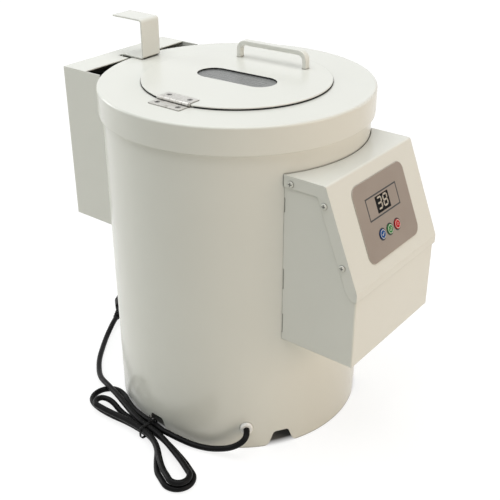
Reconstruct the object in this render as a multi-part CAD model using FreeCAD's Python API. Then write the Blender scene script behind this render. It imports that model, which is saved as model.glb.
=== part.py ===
import FreeCAD, Part
import math
import os

V = FreeCAD.Vector
UP = V(0, 0, 1)
CENTRE = V(0, 0, 0)

# Clearances shared by many fits
SEAT_GAP = 0.2          # fixed pieces slid into place
PRESS_GAP = 0.02        # pieces pressed or screwed together
RUN_GAP = 0.05          # shafts and pins that turn in their holes
MOVE_GAP = 0.4          # pieces that slide past each other
PASS_GAP = 0.3          # faces of moving pieces that come close
CUT = 20.0              # how far a cutting tool reaches past a wall
PANEL_CUT = 5.0         # how far the panel's openings reach each side of its face

# Drum shell
SHELL_R = 170.0
SHELL_T = 1.5
NOTCH_COUNT = 6
NOTCH_ANGLE = 177.5
NOTCH_H = 22.0
NOTCH_TOP_W = 20.0
NOTCH_FOOT_W = 36.0
NOTCH_TOP_R = 5.0
NOTCH_FOOT_R = 9.0

# Top cover
TOP_Z = 450.0
COVER_T = 1.8
COVER_EDGE_R = 3.0
SKIRT_H = 34.0
SKIRT_GAP = 3.0
HEM_H = 9.0

# Base plate and shelling chamber
BASE_T = 2.5
BASE_LIFT = 0.5
VENT_COUNT = 8
VENT_R = 6.0
VENT_RING_R = 32.0
VENT_X = -60.0
FLOOR_Z = 246.0
FLOOR_T = 3.0
FLOOR_HOLE_R = 14.0
LINER_GAP = 2.5
LINER_T = 1.5
RIB_COUNT = 8
RIB_R = 4.0
RIB_END_GAP = 24.0

# Rotor
DISC_LIFT = 5.0
DISC_T = 4.0
DISC_EDGE_GAP = 2.5
HUB_R = 22.0
HUB_H = 3.5
PAD_COUNT = 6
PAD_IN_R = 42.0
PAD_OUT_GAP = 16.0
PAD_W = 12.0
PAD_H = 7.0
CAP_R = 26.0
CAP_H = 17.0
SHAFT_R = 10.0
SHAFT_TOP_R = 8.0
SHAFT_TOP_H = 10.0
SHAFT_COLLAR_R = 13.0
SHAFT_END_GAP = 4.0

# Bearing housing
BEARING_R = 21.0
BEARING_W = 12.0
SEAL_W = 7.0
HOUSING_R = 30.0
HOUSING_H = 78.0
HOUSING_BORE_R = 18.0
FLANGE_R = 60.0
FLANGE_T = 8.0
HOUSING_BOLT_COUNT = 4
HOUSING_BOLT_RING_R = 46.0
BOLT_R = 3.0
BOLT_HEAD_R = 5.5
BOLT_HEAD_H = 4.0

# Belt drive
PULLEY_W = 20.0
PULLEY_NOSE_GAP = 3.0
PULLEY_GAP = 12.0
PULLEY_HUB_R = 21.0
PULLEY_HUB_H = 4.0
BELT_RATIO = 2.4
GROOVE_DEPTH = 10.0
GROOVE_TOP_W = 16.0
GROOVE_FOOT_W = 9.0
BELT_T = 6.0
BELT_W = 9.6

# Motor
MOTOR_INSET = 70.0
MOTOR_R = 60.0
MOTOR_GROOVE = 3.0
MOTOR_H = 75.0
MOTOR_NOSE_R = 20.0
MOTOR_NOSE_H = 5.0
MOTOR_SHAFT_R = 7.0
MOTOR_SHAFT_DEPTH = 30.0
MOUNT_T = 6.0
MOUNT_CORNER_R = 12.0
MOUNT_BOLT_INSET = 9.0

# Capacitor and terminal block on the base plate
CAPACITOR_X = -70.0
CAPACITOR_Y = 72.0
CAPACITOR_R = 20.0
CAPACITOR_H = 74.0
CAPACITOR_EDGE_R = 3.0
TAB_W = 6.3
TAB_T = 0.8
TAB_H = 10.0
TAB_PITCH = 16.0
TERMINAL_R = 105.0
TERMINAL_L = 60.0
TERMINAL_W = 22.0
TERMINAL_H = 18.0
TERMINAL_COUNT = 4
TERMINAL_POCKET_R = 4.0
TERMINAL_POCKET_DEPTH = 6.0

# Hatch
HATCH_R = 120.0
HATCH_T = 2.0
HATCH_GAP = 1.3
HATCH_EDGE_R = 0.8
HATCH_LAP = 12.0
HATCH_SEAL_INSET = 6.0
HATCH_SEAL_W = 4.5
SLOT_L = 112.5
SLOT_W = 42.5
SLOT_X = -2.6
SLOT_Y = -1.1
PANE_LAP = 11.0
PANE_T = 3.0
# Degrees by which the slot and the handle stand turned from the hinge line
HATCH_TURN = 3.5

# Hatch handle
HANDLE_INSET = 42.4
HANDLE_Y = -2.1
HANDLE_CENTRES = 102.0
HANDLE_H = 23.5
HANDLE_W = 9.5
HANDLE_T = 6.5
HANDLE_SECTION_R = 1.4
HANDLE_BEND_R = 10.0
HANDLE_SCREW_R = 2.0
HANDLE_SCREW_HEAD_R = 4.0
HANDLE_SCREW_HEAD_H = 2.4
HANDLE_SCREW_DEPTH = 9.0

# Butt hinge
HINGE_INSET = 2.0
HINGE_L = 48.0
HINGE_LEAF_W = 18.0
HINGE_LEAF_T = 1.2
HINGE_KNUCKLES = 5
HINGE_KNUCKLE_R = 2.5
HINGE_PIN_R = 1.5
HINGE_PIN_HEAD_R = 2.1
HINGE_PIN_HEAD_T = 0.8
HINGE_AXIS_LIFT = 2.9
HINGE_SCREW_R = 1.7
HINGE_SCREW_HEAD_R = 3.4
HINGE_SCREW_PITCH = 32.0
HINGE_SCREW_OUT = 10.5
HINGE_SCREW_TAIL = 3.0

# Discharge window, gate and chute
WINDOW_W = 90.0
WINDOW_LIFT = 1.0
WINDOW_R = 6.0
GATE_T = 1.5
GATE_LAP = 5.0
GATE_OVERLIFT = 2.0
GUIDE_T = 1.5
GUIDE_LIP = 4.5
GUIDE_FOOT = 8.0
GUIDE_STOP_H = 3.0
GUIDE_TOP_GAP = 9.0
GATE_X = 5.5
STRIP_W = 33.0
STRIP_T = 2.0
STRIP_BEND_R = 2.5
STRIP_FOOT_LIFT = 11.0
STRIP_PAD_H = 40.0
STRIP_JOG_H = 18.0
STEM_OUT = 22.0
WEB_IN = 17.0
GRIP_OUT = 34.5
GRIP_RISE = 53.0
RIVET_R = 2.4
RIVET_HEAD_R = 4.5
RIVET_HEAD_H = 2.0
RIVET_HEAD_ROUND = 0.9    # rounding of the head's edge, as a share of its height
RIVET_PITCH = 20.0
CHUTE_W = 190.0
CHUTE_OUT = 47.0
CHUTE_DROP = 8.0
CHUTE_T = 1.5
CHUTE_BEND_R = 2.5
CHUTE_FLANGE_W = 42.0
STEM_NOTCH_GAP = 4.0

# Control box
BOX_W = 190.0
BOX_T = 1.5
BOX_DROP = 60.0
BOX_FOOT_Z = 167.0
BOX_BEND_R = 2.5
PANEL_TOP_OUT = 28.0
PANEL_FOOT_OUT = 76.0
PANEL_DROP = 120.0
LIP_H = 11.0
BOX_FLANGE_W = 15.0
BOX_SEAM = 0.1
BOX_SHELL_GAP = 0.8
BOX_WELD_GAP = 0.1
SLIT_W = 1.3
SLITS = [(11.0, 38.0), (73.0, 101.0), (176.0, 194.0)]     # open stretches of the weld, up from the box's foot
SCREW_R = 2.0
SCREW_HEAD_R = 4.0
SCREW_HEAD_H = 2.0
SCREW_HEAD_ROUND = 0.8    # rounding of the head's edge, as a share of its height
SCREW_TAIL = 5.0
RECESS_DEPTH = 0.9
RECESS_REACH = 0.6        # arm's reach and half width, as shares of the head's radius
RECESS_HALF_W = 0.125
TOP_SCREW_OUT = 10.0
EDGE_SCREW_INSET = 9.5
EDGE_SCREW_TOP = 22.0
EDGE_SCREW_FOOT = 96.0

# Control panel, measured across from the middle and down from the top edge
OVERLAY_X = 2.5
OVERLAY_S = 64.5
OVERLAY_W = 115.0
OVERLAY_H = 95.0
OVERLAY_R = 12.0
OVERLAY_T = 0.8
DISPLAY_X = 1.0
DISPLAY_S = 51.2
DISPLAY_W = 29.0
DISPLAY_H = 20.0
DISPLAY_SINK = 0.2
BUTTON_NAMES = ("button_set", "button_start", "button_stop")
BUTTON_PITCH = 17.1
BUTTON_S = 85.5
BUTTON_R = 6.0
BUTTON_PROUD = 1.2
BUTTON_EDGE_R = 0.6
BUTTON_RIM_R = 7.5
BUTTON_RIM_T = 1.5
BUTTON_STEM_R = 2.5
BUTTON_TRAVEL = 0.8
BOARD_DEPTH = 16.0
BOARD_X = 2.0
BOARD_S = 66.0
BOARD_W = 108.0
BOARD_H = 84.0
BOARD_T = 1.6
BOARD_R = 3.0
STANDOFF_R = 3.0
STANDOFF_PIN_R = 1.5
STANDOFF_PIN_END = 2.0
STANDOFF_INSET = 6.0
SWITCH_W = 6.0
SWITCH_H = 3.5
SWITCH_PLUNGER_R = 1.75
SWITCH_PLUNGER_H = 0.5
RELAY_L = 19.0
RELAY_W = 15.0
RELAY_H = 15.0
RELAY_X = -28.0
RELAY_S = 84.0
TRANSFORMER_L = 30.0
TRANSFORMER_W = 26.0
TRANSFORMER_H = 22.0
TRANSFORMER_X = 28.0
TRANSFORMER_S = 80.0
SOCKET_L = 24.0
SOCKET_W = 8.0
SOCKET_H = 8.0
SOCKET_X = 0.0
SOCKET_S = 99.0

# Wiring inside
LOOM_R = 3.0
LOOM_HOLE_R = 6.0
LOOM_HOLE_DROP = 31.0
LOOM_WALL_GAP = 30.0
LOOM_BENDS = 3
LOOM_RISE = 24.0
LOOM_IN = 14.0
LOOM_OUT = 22.0
LOOM_TAIL = 12.0

# Mains lead
CORD_R = 4.0
CORD_FLOOR_GAP = 0.05
CORD_ARC_SHARE = 0.45
GROMMET_ANGLE = 221.6
GROMMET_LIFT = 0.75
GROMMET_R = 8.25
GROMMET_NECK_R = 6.25
GROMMET_OUT_T = 4.5
GROMMET_IN_T = 3.0
GROMMET_EDGE_R = 1.5

# Lead from the grommet to the hank: straight out, then distance out from the shell, angle and height
LEAD_STRAIGHT = 8.0
LEAD_ROUTE = [
    (18.5, 220.8, 30.6),
    (20.5, 218.6, 24.0),
    (18.5, 215.0, 16.0),
    (14.5, 211.0, 9.8),
    (11.5, 205.5, 5.2),
    (9.8, 198.5, 5.0),
    (9.4, 191.4, 8.6),
    (9.4, 185.4, 11.0),
]

# Lead from the hank to the plug
TAIL_ROUTE = [
    V(-185.0, 26.0, 14.6),
    V(-181.0, 42.0, 14.4),
    V(-172.5, 66.0, 14.2),
    V(-162.5, 94.0, 14.0),
    V(-154.5, 121.0, 13.4),
    V(-147.0, 141.0, 9.6),
    V(-133.0, 161.0, 5.2),
    V(-111.0, 184.0, 4.2),
    V(-84.0, 204.0, 4.1),
    V(-62.0, 219.0, 4.4),
    V(-46.0, 227.0, 8.0),
    V(-32.0, 233.0, 12.0),
    V(-19.0, 239.5, 12.0),
]

# Hank of the lead: two loops each side of a tied waist, one layer on the other
WAIST = V(-187.0, 8.0, 0)
WAIST_TURN = 6.0
LAYER_STEP = 8.8
TIE_W = 6.0
TIE_T = 1.0
TIE_GAP = 0.3

# Strands through the waist, in order along the lead: offset across and layer
WAIST_STRANDS = [(10.2, 0.78), (-5.0, 0.0), (4.0, 0.0), (-9.5, 1.0), (-0.5, 1.0)]

# Loops along the lead: side, turn of its axis, length, half width, offset, layers of its three points
LOOPS = [
    ("left", 7.0, 120.0, 22.0, 6.0, (0.0, 0.0, 0.0)),
    ("right", 24.6, 119.0, 19.5, 0.0, (0.0, 0.0, 0.0)),
    ("left", 0.0, 98.0, 10.0, 0.5, (0.8, 1.0, 1.0)),
    ("right", 25.0, 118.0, 13.5, 0.0, (1.0, 1.0, 1.0)),
]
HUG_ANGLE = 158.0
HUG_R = 176.0
HUG_LAYER = 0.45
DIP_POINT = V(-180.5, 58.0, 0)
DIP_TURN = 5.0

# Plug
PLUG_L = 34.0
PLUG_W = 34.0
PLUG_H = 24.0
PLUG_REAR_W = 22.0
PLUG_REAR_H = 19.0
PLUG_TAPER_L = 14.0
PLUG_CORNER_R = 8.0
RELIEF_L = 28.0
RELIEF_TIP_R = 5.2
RELIEF_ROOT_R = 8.0
RELIEF_RIBS = 5
RELIEF_GROOVE = 1.2
PIN_L = 18.0
PIN_W = 6.3
PIN_T = 1.6
PIN_SINK = 4.0
PIN_SPREAD = 6.9
PIN_SLANT = 30.0
PIN_LIFT = 2.5
EARTH_DROP = 7.0

# Sizes that follow from the ones above
shell_in = SHELL_R - SHELL_T
shell_top = TOP_Z - COVER_T
skirt_in = SHELL_R + SKIRT_GAP
cover_r = skirt_in + COVER_T
skirt_z = TOP_Z - SKIRT_H
base_low = NOTCH_H + BASE_LIFT
base_top = base_low + BASE_T
floor_low = FLOOR_Z - FLOOR_T
liner_out = shell_in - LINER_GAP
liner_in = liner_out - LINER_T
disc_low = FLOOR_Z + DISC_LIFT
disc_top = disc_low + DISC_T
disc_r = liner_in - RIB_R - DISC_EDGE_GAP
pad_out_r = disc_r - PAD_OUT_GAP
hub_low = disc_low - HUB_H
housing_low = floor_low - HOUSING_H
upper_bearing_low = floor_low - SEAL_W - BEARING_W
lower_bearing_top = housing_low + BEARING_W
motor_x = SHELL_R - MOTOR_INSET
mount_reach = (MOTOR_R + BOLT_HEAD_R + PASS_GAP) / math.sqrt(2)
mount_w = 2 * (mount_reach + MOUNT_BOLT_INSET)
mount_top = base_top + MOUNT_T
motor_top = mount_top + MOTOR_H
nose_top = motor_top + MOTOR_NOSE_H
pulley_z = nose_top + PULLEY_NOSE_GAP + PULLEY_HUB_H
pulley_top = pulley_z + PULLEY_W
driven_pitch_r = (motor_x - GROOVE_DEPTH - PULLEY_GAP) * BELT_RATIO / (BELT_RATIO + 1)
motor_pitch_r = driven_pitch_r / BELT_RATIO
mouth_r = HATCH_R - HATCH_LAP
hatch_seal_r = HATCH_R - HATCH_SEAL_INSET
handle_x = HATCH_R - HANDLE_INSET
plate_low = TOP_Z + HATCH_GAP
plate_top = plate_low + HATCH_T
hinge_x = HINGE_INSET - HATCH_R
hinge_z = TOP_Z + HINGE_AXIS_LIFT
window_low = disc_top + WINDOW_LIFT
guide_top = skirt_z - GUIDE_TOP_GAP
window_h = (guide_top - GUIDE_STOP_H - GATE_OVERLIFT - 2 * GATE_LAP - window_low) / 2
window_top = window_low + window_h
gate_in = SHELL_R + MOVE_GAP
gate_out = gate_in + GATE_T
gate_low = window_low - GATE_LAP
gate_top = window_top + GATE_LAP
gate_half = math.degrees(math.asin((WINDOW_W / 2 + GATE_LAP) / SHELL_R))
stem_y = SHELL_R + STEM_OUT
web_y = SHELL_R - WEB_IN
grip_y = SHELL_R + GRIP_OUT
grip_top = TOP_Z + GRIP_RISE
chute_y = SHELL_R + CHUTE_OUT
chute_low = FLOOR_Z - CHUTE_DROP
box_half = BOX_W / 2
box_top = TOP_Z - BOX_DROP
wall_half = box_half - BOX_T - BOX_SEAM
panel_top_y = -SHELL_R - PANEL_TOP_OUT
panel_foot_y = -SHELL_R - PANEL_FOOT_OUT
panel_foot_z = box_top - PANEL_DROP
top_screw_y = -math.sqrt((SHELL_R + BOX_SHELL_GAP) ** 2 - box_half ** 2) - TOP_SCREW_OUT
button_top = OVERLAY_T + BUTTON_PROUD
board_face = -BOARD_DEPTH
board_back = -BOARD_DEPTH - BOARD_T
loom_z = floor_low - LOOM_HOLE_DROP
grommet_z = base_top + GROMMET_R + GROMMET_LIFT
cord_low = CORD_R + CORD_FLOOR_GAP
waist_lift = TIE_T + TIE_GAP


def polar(radius, degrees, height=0.0):
    """Point at a radius and angle about the drum axis."""
    angle = math.radians(degrees)
    return V(radius * math.cos(angle), radius * math.sin(angle), height)


def heading(degrees):
    """Level direction, measured from +Y towards +X."""
    angle = math.radians(degrees)
    return V(math.sin(angle), math.cos(angle), 0)


def rod(radius, start, end):
    """Cylinder between two points."""
    axis = end - start
    return Part.makeCylinder(radius, axis.Length, start, axis)


def disc(radius, low, high):
    """Upright cylinder on the drum axis."""
    return Part.makeCylinder(radius, high - low, V(0, 0, low))


def ring(outer, inner, low, high):
    """Upright tube on the drum axis."""
    return disc(outer, low, high).cut(disc(inner, low, high))


def block(low, high):
    """Box between two corners."""
    size = high - low
    return Part.makeBox(size.x, size.y, size.z, low)


def centred_block(size, at):
    """Box of a size that stands on a point."""
    return Part.makeBox(size.x, size.y, size.z, at - V(size.x / 2, size.y / 2, 0))


def sector(outer, inner, start, end, low, high):
    """Part of an upright tube between two angles."""
    whole = Part.makeCylinder(outer, high - low, V(0, 0, low), UP, end - start)
    bore = disc(inner, low, high)
    return whole.cut(bore).rotate(CENTRE, UP, start)


def rounded(points, radii, lift):
    """Closed wire through 2-D points with rounded corners, put in space by lift."""
    edges = []
    count = len(points)
    starts = []
    ends = []
    middles = []
    for index in range(count):
        here = V(*points[index])
        before = V(*points[index - 1]) - here
        after = V(*points[(index + 1) % count]) - here
        before.normalize()
        after.normalize()
        half = before.getAngle(after) / 2
        radius = radii[index]
        reach = radius / math.tan(half)
        starts.append(here + before * reach)
        ends.append(here + after * reach)
        bisector = before + after
        if radius:
            bisector.normalize()
        middles.append(here + bisector * (radius / math.sin(half) - radius))
    for index in range(count):
        if radii[index]:
            bend = [lift(p.x, p.y) for p in (starts[index], middles[index], ends[index])]
            edges.append(Part.Arc(*bend).toShape())
        leave = ends[index]
        arrive = starts[(index + 1) % count]
        if (arrive - leave).Length > 1e-6:
            edges.append(Part.makeLine(lift(leave.x, leave.y), lift(arrive.x, arrive.y)))
    return Part.Wire(edges)


def plate(points, radii, lift, thickness):
    """Flat solid of a rounded outline."""
    return Part.Face(rounded(points, radii, lift)).extrude(thickness)


def rectangle(width, height, x=0.0, y=0.0):
    """Corners of a rectangle about a centre."""
    half_w = width / 2
    half_h = height / 2
    return [(x - half_w, y - half_h), (x + half_w, y - half_h), (x + half_w, y + half_h), (x - half_w, y + half_h)]


def turned(profile, radii=None):
    """Solid turned about Z from (radius, height) points."""
    radii = radii or [0] * len(profile)
    face = Part.Face(rounded(profile, radii, lambda r, z: V(r, 0, z)))
    return face.revolve(CENTRE, UP, 360)


def aimed(shape, at, direction):
    """Shape drawn along +Z, stood on a point and pointed along a direction."""
    return shape.transformed(FreeCAD.Placement(at, FreeCAD.Rotation(UP, direction)).toMatrix())


def offset_line(points, distance):
    """Open 2-D line moved sideways, to its left where distance is positive."""
    moved = []
    last = len(points) - 1
    for index, point in enumerate(points):
        here = V(*point)
        sides = []
        for first, second in ((index - 1, index), (index, index + 1)):
            if first >= 0 and second <= last:
                along = V(*points[second]) - V(*points[first])
                along.normalize()
                sides.append(V(-along.y, along.x))
        normal = sides[0] + sides[-1]
        normal.normalize()
        step = normal * (distance / normal.dot(sides[0]))
        moved.append((here.x + step.x, here.y + step.y))
    return moved


def ribbon(points, thickness, bend):
    """Outline and corner radii of a bent strip whose centre line is an open 2-D line."""
    left = offset_line(points, thickness / 2)
    right = offset_line(points, -thickness / 2)
    left_radii = [0]
    right_radii = [0]
    for index in range(1, len(points) - 1):
        arrive = V(*points[index]) - V(*points[index - 1])
        leave = V(*points[index + 1]) - V(*points[index])
        turns_left = arrive.cross(leave).z > 0
        left_radii.append(bend if turns_left else bend + thickness)
        right_radii.append(bend + thickness if turns_left else bend)
    left_radii.append(0)
    right_radii.append(0)
    return left + right[::-1], left_radii + right_radii[::-1]


def in_yz(x):
    """Puts 2-D points on the plane across X."""
    return lambda y, z: V(x, y, z)


def edges_along(shape, test):
    """Straight edges of a shape whose middle and direction pass a test."""
    found = []
    for edge in shape.Edges:
        if isinstance(edge.Curve, Part.Line):
            middle = edge.valueAt((edge.FirstParameter + edge.LastParameter) / 2)
            direction = edge.tangentAt(edge.FirstParameter)
            if test(middle, direction):
                found.append(edge)
    return found


def save(node, *shapes):
    """Writes one node as its separate solids."""
    solids = [solid for shape in shapes for solid in shape.Solids]
    for solid in solids:
        if not solid.isValid():
            print("not valid:", node)
    whole = solids[0] if len(solids) == 1 else Part.makeCompound(solids)
    whole.exportStep("parts/" + node + ".step")


# Drum, base, cover

def grommet_axis(radius):
    """Point on the grommet's axis."""
    return polar(radius, GROMMET_ANGLE, grommet_z)


def notch_tool(angle):
    """Flared foot notch, cut through the wall at an angle."""
    half_top = NOTCH_TOP_W / 2
    half_foot = NOTCH_FOOT_W / 2
    far = half_foot + 2 * NOTCH_FOOT_R
    points = [(-far, -CUT), (far, -CUT), (far, 0), (half_foot, 0), (half_top, NOTCH_H),
              (-half_top, NOTCH_H), (-half_foot, 0), (-far, 0)]
    radii = [0, 0, 0, NOTCH_FOOT_R, NOTCH_TOP_R, NOTCH_TOP_R, NOTCH_FOOT_R, 0]
    tool = plate(points, radii, in_yz(SHELL_R - CUT), V(2 * CUT, 0, 0))
    return tool.rotate(CENTRE, UP, angle)


def window_tool():
    """Discharge window, cut through the liner and the shell."""
    points = rectangle(WINDOW_W, window_h, 0, (window_low + window_top) / 2)
    return plate(points, [WINDOW_R] * 4, lambda x, z: V(x, SHELL_R / 2, z), V(0, SHELL_R / 2 + CUT, 0))


def loom_hole():
    """Hole for the wires between the drum and the control box."""
    return rod(LOOM_HOLE_R, V(0, -SHELL_R - CUT, loom_z), V(0, CUT - SHELL_R, loom_z))


def outer_shell():
    shell = ring(SHELL_R, shell_in, 0, shell_top)
    for index in range(NOTCH_COUNT):
        shell = shell.cut(notch_tool(NOTCH_ANGLE + index * 360 / NOTCH_COUNT))
    shell = shell.cut(window_tool())
    shell = shell.cut(loom_hole())
    shell = shell.cut(rod(GROMMET_NECK_R, grommet_axis(SHELL_R - CUT), grommet_axis(SHELL_R + CUT)))
    return shell.removeSplitter()


def mount_bolt_points():
    """Motor mount's bolt centres."""
    return [(motor_x + x * mount_reach, y * mount_reach) for x in (-1, 1) for y in (-1, 1)]


def base_plate():
    base = disc(shell_in - SEAT_GAP, base_low, base_top)
    for index in range(VENT_COUNT):
        at = polar(VENT_RING_R, index * 360 / VENT_COUNT) + V(VENT_X, 0, base_low)
        base = base.cut(Part.makeCylinder(VENT_R, BASE_T, at))
    for x, y in mount_bolt_points():
        base = base.cut(Part.makeCylinder(BOLT_R + RUN_GAP, BASE_T, V(x, y, base_low)))
    return base


def housing_bolt_points():
    """Bearing housing's bolt centres."""
    angles = [(index + 0.5) * 360 / HOUSING_BOLT_COUNT for index in range(HOUSING_BOLT_COUNT)]
    return [polar(HOUSING_BOLT_RING_R, angle) for angle in angles]


def chamber_floor():
    sheet = disc(shell_in - SEAT_GAP, floor_low, FLOOR_Z).cut(disc(FLOOR_HOLE_R, floor_low, FLOOR_Z))
    for at in housing_bolt_points():
        sheet = sheet.cut(Part.makeCylinder(BOLT_R + RUN_GAP, FLOOR_T, at + V(0, 0, floor_low)))
    return sheet


def chamber_liner():
    liner = ring(liner_out, liner_in, FLOOR_Z, shell_top - SEAT_GAP)
    keep = disc(liner_in + LINER_T / 2, FLOOR_Z, TOP_Z)
    for index in range(RIB_COUNT):
        at = polar(liner_in, (index + 0.5) * 360 / RIB_COUNT, disc_top + RIB_END_GAP)
        rib = Part.makeCylinder(RIB_R, shell_top - disc_top - 2 * RIB_END_GAP, at)
        liner = liner.fuse(rib.common(keep))
    return liner.removeSplitter().cut(window_tool())


def hinge_screw_points(side):
    """Screw centres of one hinge leaf; side is -1 on the cover and 1 on the hatch."""
    x = hinge_x + side * HINGE_SCREW_OUT
    return [V(x, y * HINGE_SCREW_PITCH / 2, 0) for y in (-1, 1)]


def top_cover():
    hem_in = SHELL_R + SEAT_GAP
    profile = [(mouth_r, shell_top), (skirt_in, shell_top), (skirt_in, skirt_z + HEM_H), (hem_in, skirt_z + HEM_H),
               (hem_in, skirt_z), (cover_r, skirt_z), (cover_r, TOP_Z), (mouth_r, TOP_Z)]
    radii = [0, COVER_EDGE_R - COVER_T, 0, 0, 0, COVER_T / 2, COVER_EDGE_R, 0]
    cover = turned(profile, radii)
    for at in hinge_screw_points(-1):
        cover = cover.cut(Part.makeCylinder(HINGE_SCREW_R + RUN_GAP, COVER_T, at + V(0, 0, shell_top)))
    return cover


# Rotor, bearings and drive

def rotor_disc():
    plate_part = disc(disc_r, disc_low, disc_top).fuse(disc(HUB_R, hub_low, disc_low))
    return plate_part.removeSplitter().cut(disc(SHAFT_TOP_R + PRESS_GAP, hub_low, disc_top))


def rotor_pads():
    """Rubber ridges that roll the nuts, laid like spokes on the disc."""
    points = [(-PAD_W / 2, 0), (PAD_W / 2, 0), (PAD_W / 4, PAD_H), (-PAD_W / 4, PAD_H)]
    pads = []
    for index in range(PAD_COUNT):
        pad = plate(points, [0, 0, PAD_W / 8, PAD_W / 8], lambda y, z: V(PAD_IN_R, y, disc_top + z),
                    V(pad_out_r - PAD_IN_R, 0, 0))
        pads.append(pad.rotate(CENTRE, UP, (index + 0.5) * 360 / PAD_COUNT))
    return pads


def rotor_shaft():
    end_low = pulley_z - PULLEY_HUB_H - SHAFT_END_GAP
    shaft = disc(SHAFT_R, end_low, hub_low).fuse(disc(SHAFT_TOP_R, hub_low, disc_top + SHAFT_TOP_H))
    collar = disc(SHAFT_COLLAR_R, lower_bearing_top + PASS_GAP, upper_bearing_low - PASS_GAP)
    return shaft.fuse(collar).removeSplitter()


def rotor_cap():
    bore = SHAFT_TOP_R + PRESS_GAP
    profile = [(0, disc_top + SHAFT_TOP_H), (bore, disc_top + SHAFT_TOP_H), (bore, disc_top), (CAP_R, disc_top),
               (CAP_R, disc_top + CAP_H / 3), (CAP_R / 2, disc_top + CAP_H), (0, disc_top + CAP_H)]
    return turned(profile, [0, 0, 0, 0, CAP_H / 5, CAP_H / 5, 0])


def pulley(bore_r, pitch_r, hub_r):
    """Grooved pulley about Z, at its height in the belt's plane."""
    foot_r = pitch_r - GROOVE_DEPTH / 2
    rim_r = pitch_r + GROOVE_DEPTH / 2
    middle = pulley_z + PULLEY_W / 2
    profile = [(bore_r, pulley_z - PULLEY_HUB_H), (hub_r, pulley_z - PULLEY_HUB_H), (hub_r, pulley_z),
               (rim_r, pulley_z), (rim_r, middle - GROOVE_TOP_W / 2), (foot_r, middle - GROOVE_FOOT_W / 2),
               (foot_r, middle + GROOVE_FOOT_W / 2), (rim_r, middle + GROOVE_TOP_W / 2), (rim_r, pulley_top),
               (bore_r, pulley_top)]
    return turned(profile)


def bearing_housing():
    body = disc(FLANGE_R, floor_low - FLANGE_T, floor_low).fuse(disc(HOUSING_R, housing_low, floor_low))
    body = body.removeSplitter().cut(disc(HOUSING_BORE_R, housing_low, floor_low))
    body = body.cut(disc(BEARING_R, upper_bearing_low, floor_low))
    body = body.cut(disc(BEARING_R, housing_low, lower_bearing_top))
    for at in housing_bolt_points():
        body = body.cut(Part.makeCylinder(BOLT_R + RUN_GAP, FLANGE_T, at + V(0, 0, floor_low - FLANGE_T)))
    return body


def bearing(low):
    """Bearing as one ring with its two shields set in."""
    outer = BEARING_R - PRESS_GAP
    inner = SHAFT_R + RUN_GAP
    land = (outer - inner) / 4
    dish = BEARING_W / 12
    whole = ring(outer, inner, low, low + BEARING_W)
    for start in (low, low + BEARING_W - dish):
        whole = whole.cut(ring(outer - land, inner + land, start, start + dish))
    return whole


def shaft_seal():
    return ring(BEARING_R - PRESS_GAP, SHAFT_R + PASS_GAP, floor_low - SEAL_W, floor_low)


def hex_bolt(at, length):
    """Bolt that points down, its head standing on a point."""
    corners = [polar(BOLT_HEAD_R, index * 60) for index in range(6)]
    head = Part.Face(Part.makePolygon(corners + corners[:1])).extrude(V(0, 0, BOLT_HEAD_H))
    bolt = head.fuse(rod(BOLT_R, CENTRE, V(0, 0, -length))).removeSplitter()
    return bolt.translate(at)


def housing_bolts():
    length = FLOOR_T + FLANGE_T + BOLT_R
    return [hex_bolt(at + V(0, 0, FLOOR_Z), length) for at in housing_bolt_points()]


def belt_face(grow):
    """Area inside the belt's centre line, grown or shrunk, at the pulleys' lower face."""
    big = driven_pitch_r + grow
    small = motor_pitch_r + grow
    lean = math.acos((big - small) / motor_x)
    big_at = V(big * math.cos(lean), big * math.sin(lean), 0)
    small_at = V(motor_x + small * math.cos(lean), small * math.sin(lean), 0)
    big_under = V(big_at.x, -big_at.y, 0)
    small_under = V(small_at.x, -small_at.y, 0)
    edges = [Part.Arc(big_at, V(-big, 0, 0), big_under).toShape(),
             Part.makeLine(big_under, small_under),
             Part.Arc(small_under, V(motor_x + small, 0, 0), small_at).toShape(),
             Part.makeLine(small_at, big_at)]
    return Part.Face(Part.Wire(edges))


def drive_belt():
    width = V(0, 0, BELT_W)
    belt = belt_face(BELT_T / 2).extrude(width).cut(belt_face(-BELT_T / 2).extrude(width))
    return belt.translate(V(0, 0, pulley_z + (PULLEY_W - BELT_W) / 2))


def motor_body():
    waist_r = MOTOR_R - MOTOR_GROOVE
    third = MOTOR_H / 3
    bore = MOTOR_SHAFT_R + RUN_GAP
    profile = [(0, mount_top), (MOTOR_R, mount_top), (MOTOR_R, mount_top + third), (waist_r, mount_top + third),
               (waist_r, motor_top - third), (MOTOR_R, motor_top - third), (MOTOR_R, motor_top),
               (MOTOR_NOSE_R, motor_top), (MOTOR_NOSE_R, nose_top), (bore, nose_top),
               (bore, nose_top - MOTOR_SHAFT_DEPTH), (0, nose_top - MOTOR_SHAFT_DEPTH)]
    edge = 2 * MOTOR_GROOVE
    body = turned(profile, [0, 0, 0, 0, 0, 0, edge, 0, 0, 0, 0, 0])
    return body.translate(V(motor_x, 0, 0))


def motor_mount():
    points = rectangle(mount_w, mount_w, motor_x, 0)
    foot = plate(points, [MOUNT_CORNER_R] * 4, lambda x, y: V(x, y, base_top), V(0, 0, MOUNT_T))
    for x, y in mount_bolt_points():
        foot = foot.cut(Part.makeCylinder(BOLT_R + RUN_GAP, MOUNT_T, V(x, y, base_top)))
    return foot


def motor_bolts():
    length = MOUNT_T + BASE_T + BOLT_R
    return [hex_bolt(V(x, y, mount_top), length) for x, y in mount_bolt_points()]


def motor_shaft():
    low = nose_top - MOTOR_SHAFT_DEPTH + PASS_GAP
    return disc(MOTOR_SHAFT_R, low, pulley_top + SHAFT_END_GAP).translate(V(motor_x, 0, 0))


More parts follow.
